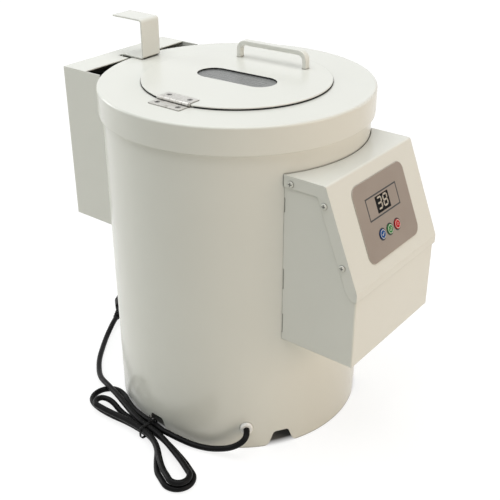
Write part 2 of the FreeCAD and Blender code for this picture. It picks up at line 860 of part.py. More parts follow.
def run_capacitor():
    top = base_top + CAPACITOR_H
    profile = [(0, base_top), (CAPACITOR_R, base_top), (CAPACITOR_R, top), (0, top)]
    can = turned(profile, [0, CAPACITOR_EDGE_R, CAPACITOR_EDGE_R, 0])
    for side in (-1, 1):
        can = can.fuse(centred_block(V(TAB_T, TAB_W, TAB_H), V(side * TAB_PITCH / 2, 0, top)))
    return can.removeSplitter().translate(V(CAPACITOR_X, CAPACITOR_Y, 0))


def terminal_block():
    """Block whose long side faces the grommet."""
    body = centred_block(V(TERMINAL_W, TERMINAL_L, TERMINAL_H), V(TERMINAL_R, 0, base_top))
    for index in range(TERMINAL_COUNT):
        y = ((index + 0.5) / TERMINAL_COUNT - 0.5) * TERMINAL_L
        at = V(TERMINAL_R + TERMINAL_W / 4, y, base_top + TERMINAL_H - TERMINAL_POCKET_DEPTH)
        body = body.cut(Part.makeCylinder(TERMINAL_POCKET_R, TERMINAL_POCKET_DEPTH, at))
    return body.rotate(CENTRE, UP, GROMMET_ANGLE)


# Hatch and hinge

def hatch_turned(shape):
    """Shape brought to the direction in which the slot and the handle stand on the hatch."""
    return shape.rotate(CENTRE, UP, HATCH_TURN)


def handle_feet():
    """Handle's leg centres on top of the hatch, before its turn."""
    return [V(handle_x, HANDLE_Y + side * HANDLE_CENTRES / 2, plate_top) for side in (-1, 1)]


def slot_outline(grow, low, height):
    """Round-ended slot, or its enlarged outline, as a solid."""
    points = rectangle(SLOT_W + 2 * grow, SLOT_L + 2 * grow, SLOT_X, SLOT_Y)
    radius = SLOT_W / 2 + grow - SEAT_GAP
    return hatch_turned(plate(points, [radius] * 4, lambda x, y: V(x, y, low), V(0, 0, height)))


def hatch_plate():
    sheet = disc(HATCH_R, plate_low, plate_top)
    rim = [edge for edge in sheet.Edges if edge.Closed and edge.BoundBox.ZMin > plate_low]
    sheet = sheet.makeFillet(HATCH_EDGE_R, rim)
    sheet = sheet.cut(slot_outline(0, plate_low, HATCH_T))
    reach = HINGE_KNUCKLE_R + MOVE_GAP
    half = HINGE_L / 2 + PASS_GAP + HINGE_PIN_HEAD_T + MOVE_GAP
    sheet = sheet.cut(block(V(-HATCH_R - CUT, -half, plate_low - CUT), V(hinge_x + reach, half, plate_top + CUT)))
    for at in handle_feet():
        hole = Part.makeCylinder(HANDLE_SCREW_R + RUN_GAP, HATCH_T, at - V(0, 0, HATCH_T))
        sheet = sheet.cut(hatch_turned(hole))
    for at in hinge_screw_points(1):
        sheet = sheet.cut(Part.makeCylinder(HINGE_SCREW_R + RUN_GAP, HATCH_T, at + V(0, 0, plate_low)))
    return sheet


def hatch_seal():
    return ring(hatch_seal_r, hatch_seal_r - HATCH_SEAL_W, TOP_Z + PASS_GAP, plate_low)


def hatch_window():
    return slot_outline(PANE_LAP, plate_low - PANE_T, PANE_T)


def hatch_handle():
    first, second = handle_feet()
    top = V(0, 0, HANDLE_H - HANDLE_T / 2)
    bend = V(0, 0, HANDLE_BEND_R)
    along = V(0, HANDLE_BEND_R, 0)
    corner = 1 - math.sqrt(0.5)
    edges = [Part.makeLine(first, first + top - bend),
             Part.Arc(first + top - bend, first + top + (along - bend) * corner, first + top + along).toShape(),
             Part.makeLine(first + top + along, second + top - along),
             Part.Arc(second + top - along, second + top - (along + bend) * corner, second + top - bend).toShape(),
             Part.makeLine(second + top - bend, second)]
    section = rounded(rectangle(HANDLE_W, HANDLE_T), [HANDLE_SECTION_R] * 4, lambda x, y: first + V(x, y, 0))
    bar = tube_along(Part.Wire(edges), section)
    for at in (first, second):
        bar = bar.cut(Part.makeCylinder(HANDLE_SCREW_R + PRESS_GAP, HANDLE_SCREW_DEPTH, at))
    return hatch_turned(bar)


def handle_screws():
    screws = []
    for at in handle_feet():
        under = at - V(0, 0, HATCH_T)
        head = Part.makeCylinder(HANDLE_SCREW_HEAD_R, HANDLE_SCREW_HEAD_H, under - V(0, 0, HANDLE_SCREW_HEAD_H))
        shank = rod(HANDLE_SCREW_R, under, at + V(0, 0, HANDLE_SCREW_DEPTH - SEAT_GAP))
        screws.append(hatch_turned(head.fuse(shank).removeSplitter()))
    return screws


def countersunk(at, tail, grow=0.0):
    """Flush screw pointing down from a leaf's face, or its hole where it is grown."""
    head_r = HINGE_SCREW_HEAD_R + grow
    shank_r = HINGE_SCREW_R + grow
    cone = Part.makeCone(shank_r, head_r, HINGE_LEAF_T, at - V(0, 0, HINGE_LEAF_T))
    return cone.fuse(rod(shank_r, at - V(0, 0, HINGE_LEAF_T), at - V(0, 0, HINGE_LEAF_T + tail))).removeSplitter()


def hinge_leaf(side, low):
    """One leaf with its knuckles; side is -1 on the cover and 1 on the hatch."""
    near = min(hinge_x, hinge_x + side * HINGE_LEAF_W)
    leaf = block(V(near, -HINGE_L / 2, low), V(near + HINGE_LEAF_W, HINGE_L / 2, low + HINGE_LEAF_T))
    pitch = HINGE_L / HINGE_KNUCKLES
    for index in range(HINGE_KNUCKLES):
        start = V(hinge_x, index * pitch - HINGE_L / 2, hinge_z)
        own = (index % 2 == 0) == (side < 0)
        gap = V(0, PASS_GAP / 2, 0)
        step = V(0, pitch, 0)
        if own:
            leaf = leaf.fuse(rod(HINGE_KNUCKLE_R, start + gap, start + step - gap))
        else:
            reach = HINGE_KNUCKLE_R + PASS_GAP
            corner = V(reach, 0, reach)
            leaf = leaf.cut(block(start - gap - corner, start + step + gap + corner))
    clear = PRESS_GAP if side < 0 else RUN_GAP
    bore = rod(HINGE_PIN_R + clear, V(hinge_x, -HINGE_L, hinge_z), V(hinge_x, HINGE_L, hinge_z))
    leaf = leaf.removeSplitter().cut(bore)
    for at in hinge_screw_points(side):
        leaf = leaf.cut(countersunk(at + V(0, 0, low + HINGE_LEAF_T), HINGE_SCREW_TAIL, RUN_GAP))
    return leaf


def hinge_pin():
    end = V(hinge_x, HINGE_L / 2 + PASS_GAP, hinge_z)
    start = V(hinge_x, -end.y, hinge_z)
    head = V(0, HINGE_PIN_HEAD_T, 0)
    pin = rod(HINGE_PIN_R, start, end)
    pin = pin.fuse(rod(HINGE_PIN_HEAD_R, start - head, start)).fuse(rod(HINGE_PIN_HEAD_R, end, end + head))
    return pin.removeSplitter()


def cross_recess(head_r, top):
    """Cross cut down into a screw head that points along +Z."""
    reach = V(head_r * RECESS_REACH, head_r * RECESS_HALF_W, 0)
    depth = V(0, 0, RECESS_DEPTH)
    arm = block(top - reach - depth, top + reach)
    return arm.fuse(arm.copy().rotate(top, UP, 90))


def hinge_screws(side, low, tail):
    screws = []
    for at in hinge_screw_points(side):
        face = at + V(0, 0, low + HINGE_LEAF_T)
        screws.append(countersunk(face, tail).cut(cross_recess(HINGE_SCREW_HEAD_R, face)))
    return screws


# Discharge gate and chute

def rivet_points():
    """Rivet heights on the gate's strip."""
    middle = gate_low + STRIP_FOOT_LIFT + STRIP_PAD_H / 2
    return [V(GATE_X, 0, middle + side * RIVET_PITCH / 2) for side in (-1, 1)]


def rivet_hole(at):
    return rod(RIVET_R + RUN_GAP, at + V(0, gate_in - CUT, 0), at + V(0, stem_y, 0))


def gate_plate():
    sheet = sector(gate_out, gate_in, 90 - gate_half, 90 + gate_half, gate_low, gate_top)
    for at in rivet_points():
        sheet = sheet.cut(rivet_hole(at))
    return sheet


def strip_y():
    """Middle of the strip where it lies on the gate."""
    return gate_out + SEAT_GAP + STRIP_T / 2


def gate_handle():
    """Strip riveted to the gate, bent out to its stem and folded over into a grip."""
    pad_low = gate_low + STRIP_FOOT_LIFT
    pad_top = pad_low + STRIP_PAD_H
    foot_z = TOP_Z + MOVE_GAP + STRIP_T / 2
    grip_z = grip_top - STRIP_T / 2
    line = [(strip_y(), pad_low), (strip_y(), pad_top), (stem_y, pad_top + STRIP_JOG_H), (stem_y, foot_z),
            (web_y, foot_z), (web_y, grip_z), (grip_y, grip_z)]
    points, radii = ribbon(line, STRIP_T, STRIP_BEND_R)
    strip = plate(points, radii, in_yz(GATE_X - STRIP_W / 2), V(STRIP_W, 0, 0))
    for at in rivet_points():
        strip = strip.cut(rivet_hole(at))
    return strip


def gate_rivets():
    rivets = []
    seat = strip_y() + STRIP_T / 2
    for at in rivet_points():
        shank = rod(RIVET_R, at + V(0, gate_in + RUN_GAP, 0), at + V(0, seat, 0))
        profile = [(0, 0), (RIVET_HEAD_R, 0), (RIVET_HEAD_R, RIVET_HEAD_H), (0, RIVET_HEAD_H)]
        head = turned(profile, [0, 0, RIVET_HEAD_H * RIVET_HEAD_ROUND, 0])
        rivets.append(shank.fuse(aimed(head, at + V(0, seat, 0), V(0, 1, 0))).removeSplitter())
    return rivets


def gate_guides():
    """Two rails on the shell that hold the gate's edges, each with a stop under it."""
    lip_in = gate_out + MOVE_GAP
    lip_out = lip_in + GUIDE_T
    gap = math.degrees(MOVE_GAP / SHELL_R)
    lip = math.degrees(GUIDE_LIP / SHELL_R)
    foot = math.degrees(GUIDE_FOOT / SHELL_R)
    low = gate_low - MOVE_GAP - GUIDE_STOP_H
    inner = SHELL_R + RUN_GAP
    start = gate_half + gap
    end = start + foot
    rails = []
    for mirror in (1, -1):
        pieces = []
        for first, last, r_in, r_out, z_low, z_high in (
                (start, end, inner, lip_out, low, guide_top),
                (start - lip, end, lip_in, lip_out, low, guide_top),
                (start - lip, end, inner, lip_out, low, low + GUIDE_STOP_H)):
            angles = sorted((90 + mirror * first, 90 + mirror * last))
            pieces.append(sector(r_out, r_in, angles[0], angles[1], z_low, z_high))
        rails.append(pieces[0].multiFuse(pieces[1:]).removeSplitter())
    return rails


def chute_box():
    half = CHUTE_W / 2
    outer = block(V(-half, 0, chute_low), V(half, chute_y, TOP_Z))
    bends = edges_along(outer, lambda at, way: at.y > chute_y / 2 and (abs(way.z) > 0.5 or at.z > TOP_Z - CHUTE_T)
                        and not (abs(way.y) > 0.5))
    outer = outer.makeFillet(CHUTE_BEND_R, bends)
    inner = block(V(CHUTE_T - half, -CUT, chute_low - CUT), V(half - CHUTE_T, chute_y - CHUTE_T, TOP_Z - CHUTE_T))
    flange_y = chute_y - CHUTE_FLANGE_W
    gap = block(V(CHUTE_T - half, -CUT, chute_low), V(half - CHUTE_T, flange_y, TOP_Z + CUT))
    notch_half = STRIP_W / 2 + STEM_NOTCH_GAP
    notch_y = stem_y + STRIP_T / 2 + STEM_NOTCH_GAP / 2
    notch = block(V(GATE_X - notch_half, 0, chute_low), V(GATE_X + notch_half, notch_y, TOP_Z + CUT))
    box = outer.cut(inner).cut(gap).cut(notch)
    box = box.cut(disc(SHELL_R + BOX_WELD_GAP, chute_low - CUT, TOP_Z + CUT))
    return box.cut(disc(cover_r + MOVE_GAP, skirt_z - MOVE_GAP, TOP_Z + CUT))


# Control box

def panel_axes():
    """Directions down and out of the sloping panel."""
    down = V(0, panel_foot_y - panel_top_y, panel_foot_z - box_top)
    down.normalize()
    return down, down.cross(V(1, 0, 0))


panel_down, panel_out = panel_axes()
panel_turn = FreeCAD.Rotation(V(1, 0, 0), panel_down * -1, panel_out, "ZXY")
panel_place = FreeCAD.Placement(V(0, panel_top_y, box_top), panel_turn)


def on_panel(shape):
    """Shape drawn with x across, -y down the panel and z outward, put on the panel."""
    return shape.transformed(panel_place.toMatrix())


def flat_lift(height):
    """Puts 2-D points on a level plane."""
    return lambda x, y: V(x, y, height)


def button_x(index):
    return (index - (len(BUTTON_NAMES) - 1) / 2) * BUTTON_PITCH


def panel_openings(grow):
    """Display and button holes as cutting tools that run through the panel."""
    points = rectangle(DISPLAY_W + 2 * grow, DISPLAY_H + 2 * grow, DISPLAY_X, -DISPLAY_S)
    tools = [plate(points, [0] * 4, flat_lift(-PANEL_CUT), V(0, 0, 2 * PANEL_CUT))]
    for index in range(len(BUTTON_NAMES)):
        at = V(button_x(index), -BUTTON_S, -PANEL_CUT)
        tools.append(Part.makeCylinder(BUTTON_R + grow, 2 * PANEL_CUT, at))
    return tools


def cover_line():
    """Outer line of the control cover: top, slope and lip, as (y, z)."""
    return [(0.0, box_top), (panel_top_y, box_top), (panel_foot_y, panel_foot_z),
            (panel_foot_y, panel_foot_z - LIP_H)]


def control_cover():
    middle = offset_line(cover_line(), BOX_T / 2)
    points, radii = ribbon(middle, BOX_T, BOX_BEND_R - BOX_T / 2)
    cover = plate(points, radii, in_yz(-box_half), V(BOX_W, 0, 0))
    inner = offset_line(cover_line(), BOX_FLANGE_W)
    lip_end = (panel_foot_y + BOX_FLANGE_W / 2, panel_foot_z - LIP_H)
    flange = cover_line() + [lip_end, inner[2], inner[1], inner[0]]
    bend = BOX_BEND_R + BOX_T / 2
    flange_radii = [0, bend, bend, 0, 0, BOX_BEND_R, BOX_BEND_R, 0]
    for x in (-box_half, box_half - BOX_T):
        cover = cover.fuse(plate(flange, flange_radii, in_yz(x), V(BOX_T, 0, 0)))
    cover = cover.removeSplitter().cut(disc(SHELL_R + BOX_SHELL_GAP, 0, TOP_Z))
    for tool in panel_openings(PASS_GAP):
        cover = cover.cut(on_panel(tool))
    for at in control_screw_points():
        cover = cover.cut(rod(SCREW_R + RUN_GAP, at - V(CUT, 0, 0), at + V(CUT, 0, 0)))
    return cover


def control_base():
    """Open-topped case welded to the drum under the control cover."""
    slope = offset_line(cover_line(), BOX_T + SEAT_GAP)
    front = panel_foot_y + BOX_T + BOX_SEAM
    profile = [(0.0, slope[0][1]), slope[1], (front, slope[2][1]), (front, BOX_FOOT_Z), (0.0, BOX_FOOT_Z)]
    outer = plate(profile, [0] * 5, in_yz(-wall_half), V(2 * wall_half, 0, 0))
    folds = edges_along(outer, lambda at, way: (at.z < BOX_FOOT_Z + BOX_T and at.y < -SHELL_R / 2)
                        or (abs(at.y - front) < BOX_T and abs(way.z) > 0.9))
    outer = outer.makeFillet(BOX_BEND_R, folds)
    inside = wall_half - BOX_T
    cavity = block(V(-inside, front + BOX_T, BOX_FOOT_Z + BOX_T), V(inside, 0, TOP_Z))
    case = outer.cut(cavity).cut(disc(SHELL_R + BOX_WELD_GAP, 0, TOP_Z))
    for low, high in SLITS:
        case = case.cut(disc(SHELL_R + SLIT_W, BOX_FOOT_Z + low, BOX_FOOT_Z + high))
    for at in control_screw_points():
        case = case.cut(rod(SCREW_R + RUN_GAP, at - V(CUT, 0, 0), at + V(CUT, 0, 0)))
    return case


def control_screw_points():
    """Screw centres on the outer faces of the cover's flanges."""
    top = (top_screw_y, box_top - EDGE_SCREW_INSET)
    points = [top]
    for down in (EDGE_SCREW_TOP, EDGE_SCREW_FOOT):
        at = V(0, panel_top_y, box_top) + panel_down * down - panel_out * EDGE_SCREW_INSET
        points.append((at.y, at.z))
    return [V(side * box_half, y, z) for side in (-1, 1) for y, z in points]


def control_screws():
    profile = [(0, 0), (SCREW_HEAD_R, 0), (SCREW_HEAD_R, SCREW_HEAD_H), (0, SCREW_HEAD_H)]
    head = turned(profile, [0, 0, SCREW_HEAD_H * SCREW_HEAD_ROUND, 0])
    screw = head.fuse(rod(SCREW_R, CENTRE, V(0, 0, -SCREW_TAIL))).removeSplitter()
    screw = screw.cut(cross_recess(SCREW_HEAD_R, V(0, 0, SCREW_HEAD_H)))
    return [aimed(screw, at, V(math.copysign(1, at.x), 0, 0)) for at in control_screw_points()]


def panel_overlay():
    sheet = plate(rectangle(OVERLAY_W, OVERLAY_H, OVERLAY_X, -OVERLAY_S), [OVERLAY_R] * 4, flat_lift(0),
                  V(0, 0, OVERLAY_T))
    for tool in panel_openings(PASS_GAP):
        sheet = sheet.cut(tool)
    return on_panel(sheet)


def display_module():
    face = OVERLAY_T - DISPLAY_SINK
    body = plate(rectangle(DISPLAY_W, DISPLAY_H, DISPLAY_X, -DISPLAY_S), [0] * 4, flat_lift(board_face),
                 V(0, 0, face - board_face))
    return on_panel(body)


def button(index):
    """Push button: cap through the panel, rim behind it and a stem towards its switch."""
    rim_top = -BOX_T - PASS_GAP
    stem_end = board_face + SWITCH_H + SWITCH_PLUNGER_H + BUTTON_TRAVEL + PASS_GAP
    profile = [(0, stem_end), (BUTTON_STEM_R, stem_end), (BUTTON_STEM_R, rim_top - BUTTON_RIM_T),
               (BUTTON_RIM_R, rim_top - BUTTON_RIM_T), (BUTTON_RIM_R, rim_top), (BUTTON_R, rim_top),
               (BUTTON_R, button_top), (0, button_top)]
    cap = turned(profile, [0, 0, 0, 0, 0, 0, BUTTON_EDGE_R, 0])
    return on_panel(cap.translate(V(button_x(index), -BUTTON_S, 0)))


def standoff_points():
    half_w = BOARD_W / 2 - STANDOFF_INSET
    half_h = BOARD_H / 2 - STANDOFF_INSET
    return [V(BOARD_X + x * half_w, y * half_h - BOARD_S, 0) for x in (-1, 1) for y in (-1, 1)]


def control_board():
    points = rectangle(BOARD_W, BOARD_H, BOARD_X, -BOARD_S)
    sheet = plate(points, [BOARD_R] * 4, flat_lift(board_back), V(0, 0, BOARD_T))
    for at in standoff_points():
        sheet = sheet.cut(rod(STANDOFF_PIN_R + RUN_GAP, at + V(0, 0, board_back), at + V(0, 0, board_face)))
    return on_panel(sheet)


def board_standoffs():
    posts = []
    for at in standoff_points():
        post = rod(STANDOFF_R, at + V(0, 0, board_face), at - V(0, 0, BOX_T))
        pin = rod(STANDOFF_PIN_R, at + V(0, 0, board_back - STANDOFF_PIN_END), at + V(0, 0, board_face))
        posts.append(on_panel(post.fuse(pin).removeSplitter()))
    return posts


def key_switches():
    switches = []
    for index in range(len(BUTTON_NAMES)):
        at = V(button_x(index), -BUTTON_S, board_face)
        body = centred_block(V(SWITCH_W, SWITCH_W, SWITCH_H), at)
        plunger = Part.makeCylinder(SWITCH_PLUNGER_R, SWITCH_H + SWITCH_PLUNGER_H, at)
        switches.append(on_panel(body.fuse(plunger).removeSplitter()))
    return switches


def board_parts():
    """Relay, transformer and wire socket on the back of the board."""
    relay = (RELAY_L, RELAY_W, RELAY_H, RELAY_X, RELAY_S)
    transformer = (TRANSFORMER_L, TRANSFORMER_W, TRANSFORMER_H, TRANSFORMER_X, TRANSFORMER_S)
    socket = (SOCKET_L, SOCKET_W, SOCKET_H, SOCKET_X, SOCKET_S)
    parts = []
    for length, width, height, x, s in (relay, transformer, socket):
        parts.append(on_panel(centred_block(V(length, width, height), V(x, -s, board_back - height))))
    return parts


# Cord and plug

def tube_along(path, section):
    """Solid swept along a path by a closed section."""
    pipe = Part.BRepOffsetAPI.MakePipeShell(path)
    pipe.add(section)
    pipe.build()
    pipe.makeSolid()
    return pipe.shape().Solids[0]


def round_section(radius, at, direction):
    return Part.Wire(Part.makeCircle(radius, at, direction))


def report_tube(name, solid, path, radius, note):
    """Prints how a tube's volume compares with its section times its length."""
    share = solid.Volume / (math.pi * radius ** 2 * path.Length)
    print(name, "length %.1f" % path.Length, "volume share %.4f" % share, note)


def run_tube(name, points, radius):
    """Tube of straight runs joined by tangent arcs as large as the runs allow."""
    edges = []
    radii = []
    last = points[0]
    for before, here, after in zip(points, points[1:], points[2:]):
        back = before - here
        ahead = after - here
        reach = CORD_ARC_SHARE * min(back.Length, ahead.Length)
        half = back.getAngle(ahead) / 2
        back.normalize()
        ahead.normalize()
        arc_r = reach * math.tan(half)
        radii.append(arc_r)
        middle = back + ahead
        middle.normalize()
        start = here + back * reach
        end = here + ahead * reach
        edges.append(Part.makeLine(last, start))
        edges.append(Part.Arc(start, here + middle * (reach / math.cos(half) - arc_r), end).toShape())
        last = end
    edges.append(Part.makeLine(last, points[-1]))
    path = Part.Wire(edges)
    solid = tube_along(path, round_section(radius, points[0], points[1] - points[0]))
    report_tube(name, solid, path, radius, "arc radii " + " ".join("%.0f" % r for r in radii))
    return solid


def lead_points():
    """Lead from the grommet, straight out of it at first, to the hank."""
    face = SHELL_R + GROMMET_OUT_T
    points = [grommet_axis(face), grommet_axis(face + LEAD_STRAIGHT)]
    return points + [polar(SHELL_R + out, angle, height) for out, angle, height in LEAD_ROUTE]


def loom_points():
    """Wires from the terminal block, round the shell, through it and up to the board's socket."""
    start = polar(TERMINAL_R - TERMINAL_W / 4, GROMMET_ANGLE, base_top + TERMINAL_H)
    rise = start + V(0, 0, LOOM_RISE)
    wall = V(0, -SHELL_R, loom_z)
    end = panel_place.multVec(V(SOCKET_X, -SOCKET_S - SOCKET_W / 2, board_back - SOCKET_H / 2))
    points = [start, rise]
    for index in range(LOOM_BENDS):
        share = (index + 1) / (LOOM_BENDS + 1)
        angle = GROMMET_ANGLE + share * (270 - GROMMET_ANGLE)
        points.append(polar(shell_in - LOOM_WALL_GAP, angle, rise.z + share * (loom_z - rise.z)))
    return points + [wall + V(0, LOOM_IN, 0), wall - V(0, LOOM_OUT, 0), end + panel_down * LOOM_TAIL, end]


def cord_grommet():
    """White bush in the shell, with a flange each side and a bore for the lead."""
    bore = CORD_R + RUN_GAP
    neck = GROMMET_NECK_R - PRESS_GAP
    wall = SHELL_T + GROMMET_IN_T
    profile = [(bore, 0), (GROMMET_R, 0), (GROMMET_R, GROMMET_IN_T), (neck, GROMMET_IN_T), (neck, wall),
               (GROMMET_R, wall), (GROMMET_R, wall + GROMMET_OUT_T), (bore, wall + GROMMET_OUT_T)]
    bush = turned(profile, [0, 0, 0, 0, 0, 0, GROMMET_EDGE_R, 0])
    bush = aimed(bush, grommet_axis(shell_in - GROMMET_IN_T), grommet_axis(1) - grommet_axis(0))
    return bush.cut(ring(SHELL_R + RUN_GAP, shell_in - RUN_GAP, 0, FLOOR_Z).cut(
        rod(GROMMET_NECK_R - PRESS_GAP, grommet_axis(SHELL_R - CUT), grommet_axis(SHELL_R + CUT))))


def inner_lead():
    return rod(CORD_R, grommet_axis(TERMINAL_R + TERMINAL_W / 2), grommet_axis(SHELL_R + GROMMET_OUT_T))


def layer_z(layer):
    return cord_low + layer * LAYER_STEP


def waist_stations():
    """Where each strand crosses the waist, and its heading there."""
    along = heading(WAIST_TURN)
    across = V(along.y, -along.x, 0)
    stations = []
    for index, (offset, layer) in enumerate(WAIST_STRANDS):
        at = WAIST + across * offset + V(0, 0, layer_z(layer) + waist_lift)
        stations.append((at, along if index % 2 == 0 else along * -1))
    return stations


def loop_stations(side, turn, length, half, offset, layers):
    """Three points of a loop: widest on the way out, far end and widest on the way back."""
    out = heading(turn) if side == "left" else heading(turn) * -1
    across = V(out.y, -out.x, 0)
    middle = WAIST + out * (length - half) + across * offset
    places = (middle + across * half, middle + out * half, middle - across * half)
    headings = (out, across * -1, out * -1)
    return [(at + V(0, 0, layer_z(layer)), way) for at, way, layer in zip(places, headings, layers)]


def hank_stations():
    """Points and headings along the whole hank, from the grommet's side to the plug's."""
    lead = lead_points()
    start_way = (lead[-1] - lead[-2]).normalize()
    end_way = (TAIL_ROUTE[1] - TAIL_ROUTE[0]).normalize()
    straight = 2 * CORD_R
    stations = [(lead[-1], start_way), (lead[-1] + start_way * straight, start_way)]
    for index, waist in enumerate(waist_stations()):
        stations.append(waist)
        if index == 0:
            stations.append((polar(HUG_R, HUG_ANGLE, layer_z(HUG_LAYER)), heading(180 - HUG_ANGLE)))
        if index == 2:
            stations.append((DIP_POINT + V(0, 0, layer_z(0)), heading(DIP_TURN)))
        if index < len(LOOPS):
            stations += loop_stations(*LOOPS[index])
    return stations + [(TAIL_ROUTE[0] - end_way * straight, end_way), (TAIL_ROUTE[0], end_way)]


def bow(start, way, end):
    """Arc, or line, that leaves a point along a heading and ends at another."""
    chord = end - start
    lean = way.getAngle(chord)
    if lean < 1e-4:
        return Part.makeLine(start, end)
    flat = chord * (way.dot(chord) / chord.dot(chord))
    side = (way - flat).normalize()
    middle = (start + end) * 0.5 + side * (chord.Length / 2 * math.tan(lean / 2))
    return Part.Arc(start, middle, end).toShape()


def biarc(start, start_way, end, end_way):
    """Two arcs that join two points along their headings."""
    span = end - start
    both = start_way + end_way
    square = 4 - both.dot(both)
    linear = 2 * span.dot(both)
    reach = span.dot(span) / linear
    if square > 1e-6:
        reach = (math.sqrt(linear ** 2 + 4 * square * span.dot(span)) - linear) / (2 * square)
    joint = (start + start_way * reach + end - end_way * reach) * 0.5
    second = bow(end, end_way * -1, joint)
    return [bow(start, start_way, joint), second.reversed()]


def least_gap(path, radius):
    """Least gap of a tube to itself, between points over four diameters apart along it."""
    points = path.discretize(Distance=radius / 2)
    step = path.Length / (len(points) - 1)
    skip = int(8 * radius / step)
    least = min((points[i] - points[j]).Length for i in range(len(points)) for j in range(i + skip, len(points)))
    return least - 2 * radius


def cord_hank():
    stations = hank_stations()
    edges = []
    for (start, start_way), (end, end_way) in zip(stations, stations[1:]):
        edges += biarc(start, start_way, end, end_way)
    path = Part.Wire(Part.sortEdges(edges)[0])
    solid = tube_along(path, round_section(CORD_R, *stations[0]))
    tightest = min(edge.Curve.Radius for edge in path.Edges if hasattr(edge.Curve, "Radius"))
    report_tube("cord_hank", solid, path, CORD_R,
                "least gap %.2f, tightest %.1f" % (least_gap(path, CORD_R), tightest))
    return solid


def cord_tie():
    """Band round the strands at the waist."""
    offsets = [offset for offset, layer in WAIST_STRANDS]
    room = CORD_R + TIE_GAP
    left = min(offsets) - room
    right = max(offsets) + room
    top = layer_z(1) + waist_lift + room
    bottom = CORD_FLOOR_GAP + waist_lift - TIE_GAP
    inner = [(left, bottom), (right, bottom), (right, top), (left, top)]
    outer = [(left - TIE_T, bottom - TIE_T), (right + TIE_T, bottom - TIE_T), (right + TIE_T, top + TIE_T),
             (left - TIE_T, top + TIE_T)]
    lift = in_yz(-TIE_W / 2)
    width = V(TIE_W, 0, 0)
    corner = CORD_R / 2
    band = plate(outer, [corner + TIE_T] * 4, lift, width).cut(plate(inner, [corner] * 4, lift, width))
    along = heading(WAIST_TURN)
    across = V(along.y, -along.x, 0)
    turn = FreeCAD.Rotation(along, across, UP, "ZYX")
    return band.transformed(FreeCAD.Placement(WAIST, turn).toMatrix())


def plug_place():
    """Plug's frame: X along the lead's last run, from the root of the strain relief."""
    end = TAIL_ROUTE[-1]
    way = (end - TAIL_ROUTE[-2]).normalize()
    turn = FreeCAD.Rotation(V(1, 0, 0), way)
    return FreeCAD.Placement(V(end.x, end.y, PLUG_H / 2) + way * RELIEF_L, turn)


def plug_section(width, height, x):
    corner = min(PLUG_CORNER_R, height / 2 - 1)
    return rounded(rectangle(width, height), [corner] * 4, in_yz(x))


def plug_body():
    sections = [plug_section(PLUG_REAR_W, PLUG_REAR_H, 0), plug_section(PLUG_W, PLUG_H, PLUG_TAPER_L),
                plug_section(PLUG_W, PLUG_H, PLUG_L)]
    body = Part.makeLoft(sections, True, True)
    profile = [(0, -RELIEF_L)]
    step = RELIEF_L / (2 * RELIEF_RIBS)
    for index in range(2 * RELIEF_RIBS):
        share = index / (2 * RELIEF_RIBS - 1)
        radius = RELIEF_TIP_R + share * (RELIEF_ROOT_R - RELIEF_TIP_R)
        if index % 2:
            radius -= RELIEF_GROOVE
        low = -RELIEF_L + index * step
        profile += [(radius, low), (radius, low + step)]
    profile += [(0, 0)]
    relief = aimed(turned(profile), CENTRE, V(1, 0, 0))
    body = body.fuse(relief).removeSplitter()
    for tool in pin_blades(RUN_GAP):
        body = body.cut(tool)
    return body.transformed(plug_place().toMatrix())


def pin_blades(grow):
    """Three flat blades, two of them slanted, standing out of the plug's face."""
    blades = []
    for y, z, slant in ((-PIN_SPREAD, PIN_LIFT, -PIN_SLANT), (PIN_SPREAD, PIN_LIFT, PIN_SLANT), (0, -EARTH_DROP, 0)):
        half = V(0, PIN_T / 2 + grow, PIN_W / 2 + grow)
        blade = block(V(PLUG_L - PIN_SINK, -half.y, -half.z), V(PLUG_L + PIN_L, half.y, half.z))
        blades.append(blade.rotate(CENTRE, V(1, 0, 0), slant).translate(V(0, y, z)))
    return blades


def plug_pins():
    return [blade.transformed(plug_place().toMatrix()) for blade in pin_blades(0.0)]


os.makedirs("parts", exist_ok=True)

save("outer_shell", outer_shell())
save("base_plate", base_plate())
save("chamber_floor", chamber_floor())
save("chamber_liner", chamber_liner())
save("top_cover", top_cover())

save("rotor_disc", rotor_disc())
save("rotor_pads", *rotor_pads())
save("rotor_shaft", rotor_shaft())
save("rotor_cap", rotor_cap())
save("driven_pulley", pulley(SHAFT_R + PRESS_GAP, driven_pitch_r, PULLEY_HUB_R))
save("bearing_housing", bearing_housing())
save("upper_bearing", bearing(upper_bearing_low))
save("lower_bearing", bearing(housing_low))
save("shaft_seal", shaft_seal())
save("housing_bolts", *housing_bolts())
save("drive_belt", drive_belt())
save("motor_body", motor_body())
save("motor_mount", motor_mount())
save("motor_bolts", *motor_bolts())
save("motor_shaft", motor_shaft())
save("motor_pulley", pulley(MOTOR_SHAFT_R + PRESS_GAP, motor_pitch_r, motor_pitch_r / 2).translate(V(motor_x, 0, 0)))
save("run_capacitor", run_capacitor())
save("terminal_block", terminal_block())

save("hatch_plate", hatch_plate())
save("hatch_seal", hatch_seal())
save("hatch_window", hatch_window())
save("hatch_handle", hatch_handle())
save("handle_screws", *handle_screws())
save("hinge_fixed_leaf", hinge_leaf(-1, TOP_Z))
save("hinge_moving_leaf", hinge_leaf(1, plate_top))
save("hinge_pin", hinge_pin())
save("hinge_fixed_screws", *hinge_screws(-1, TOP_Z, COVER_T + HINGE_SCREW_TAIL))
save("hinge_moving_screws", *hinge_screws(1, plate_top, HATCH_T))

save("chute_box", chute_box())
save("gate_guides", *gate_guides())
save("gate_plate", gate_plate())
save("gate_handle", gate_handle())
save("gate_rivets", *gate_rivets())

save("control_base", control_base())
save("control_cover", control_cover())
save("control_screws", *control_screws())
save("panel_overlay", panel_overlay())
save("display_module", display_module())
for number, name in enumerate(BUTTON_NAMES):
    save(name, button(number))
save("control_board", control_board())
save("board_standoffs", *board_standoffs())
save("key_switches", *key_switches())
save("board_parts", *board_parts())

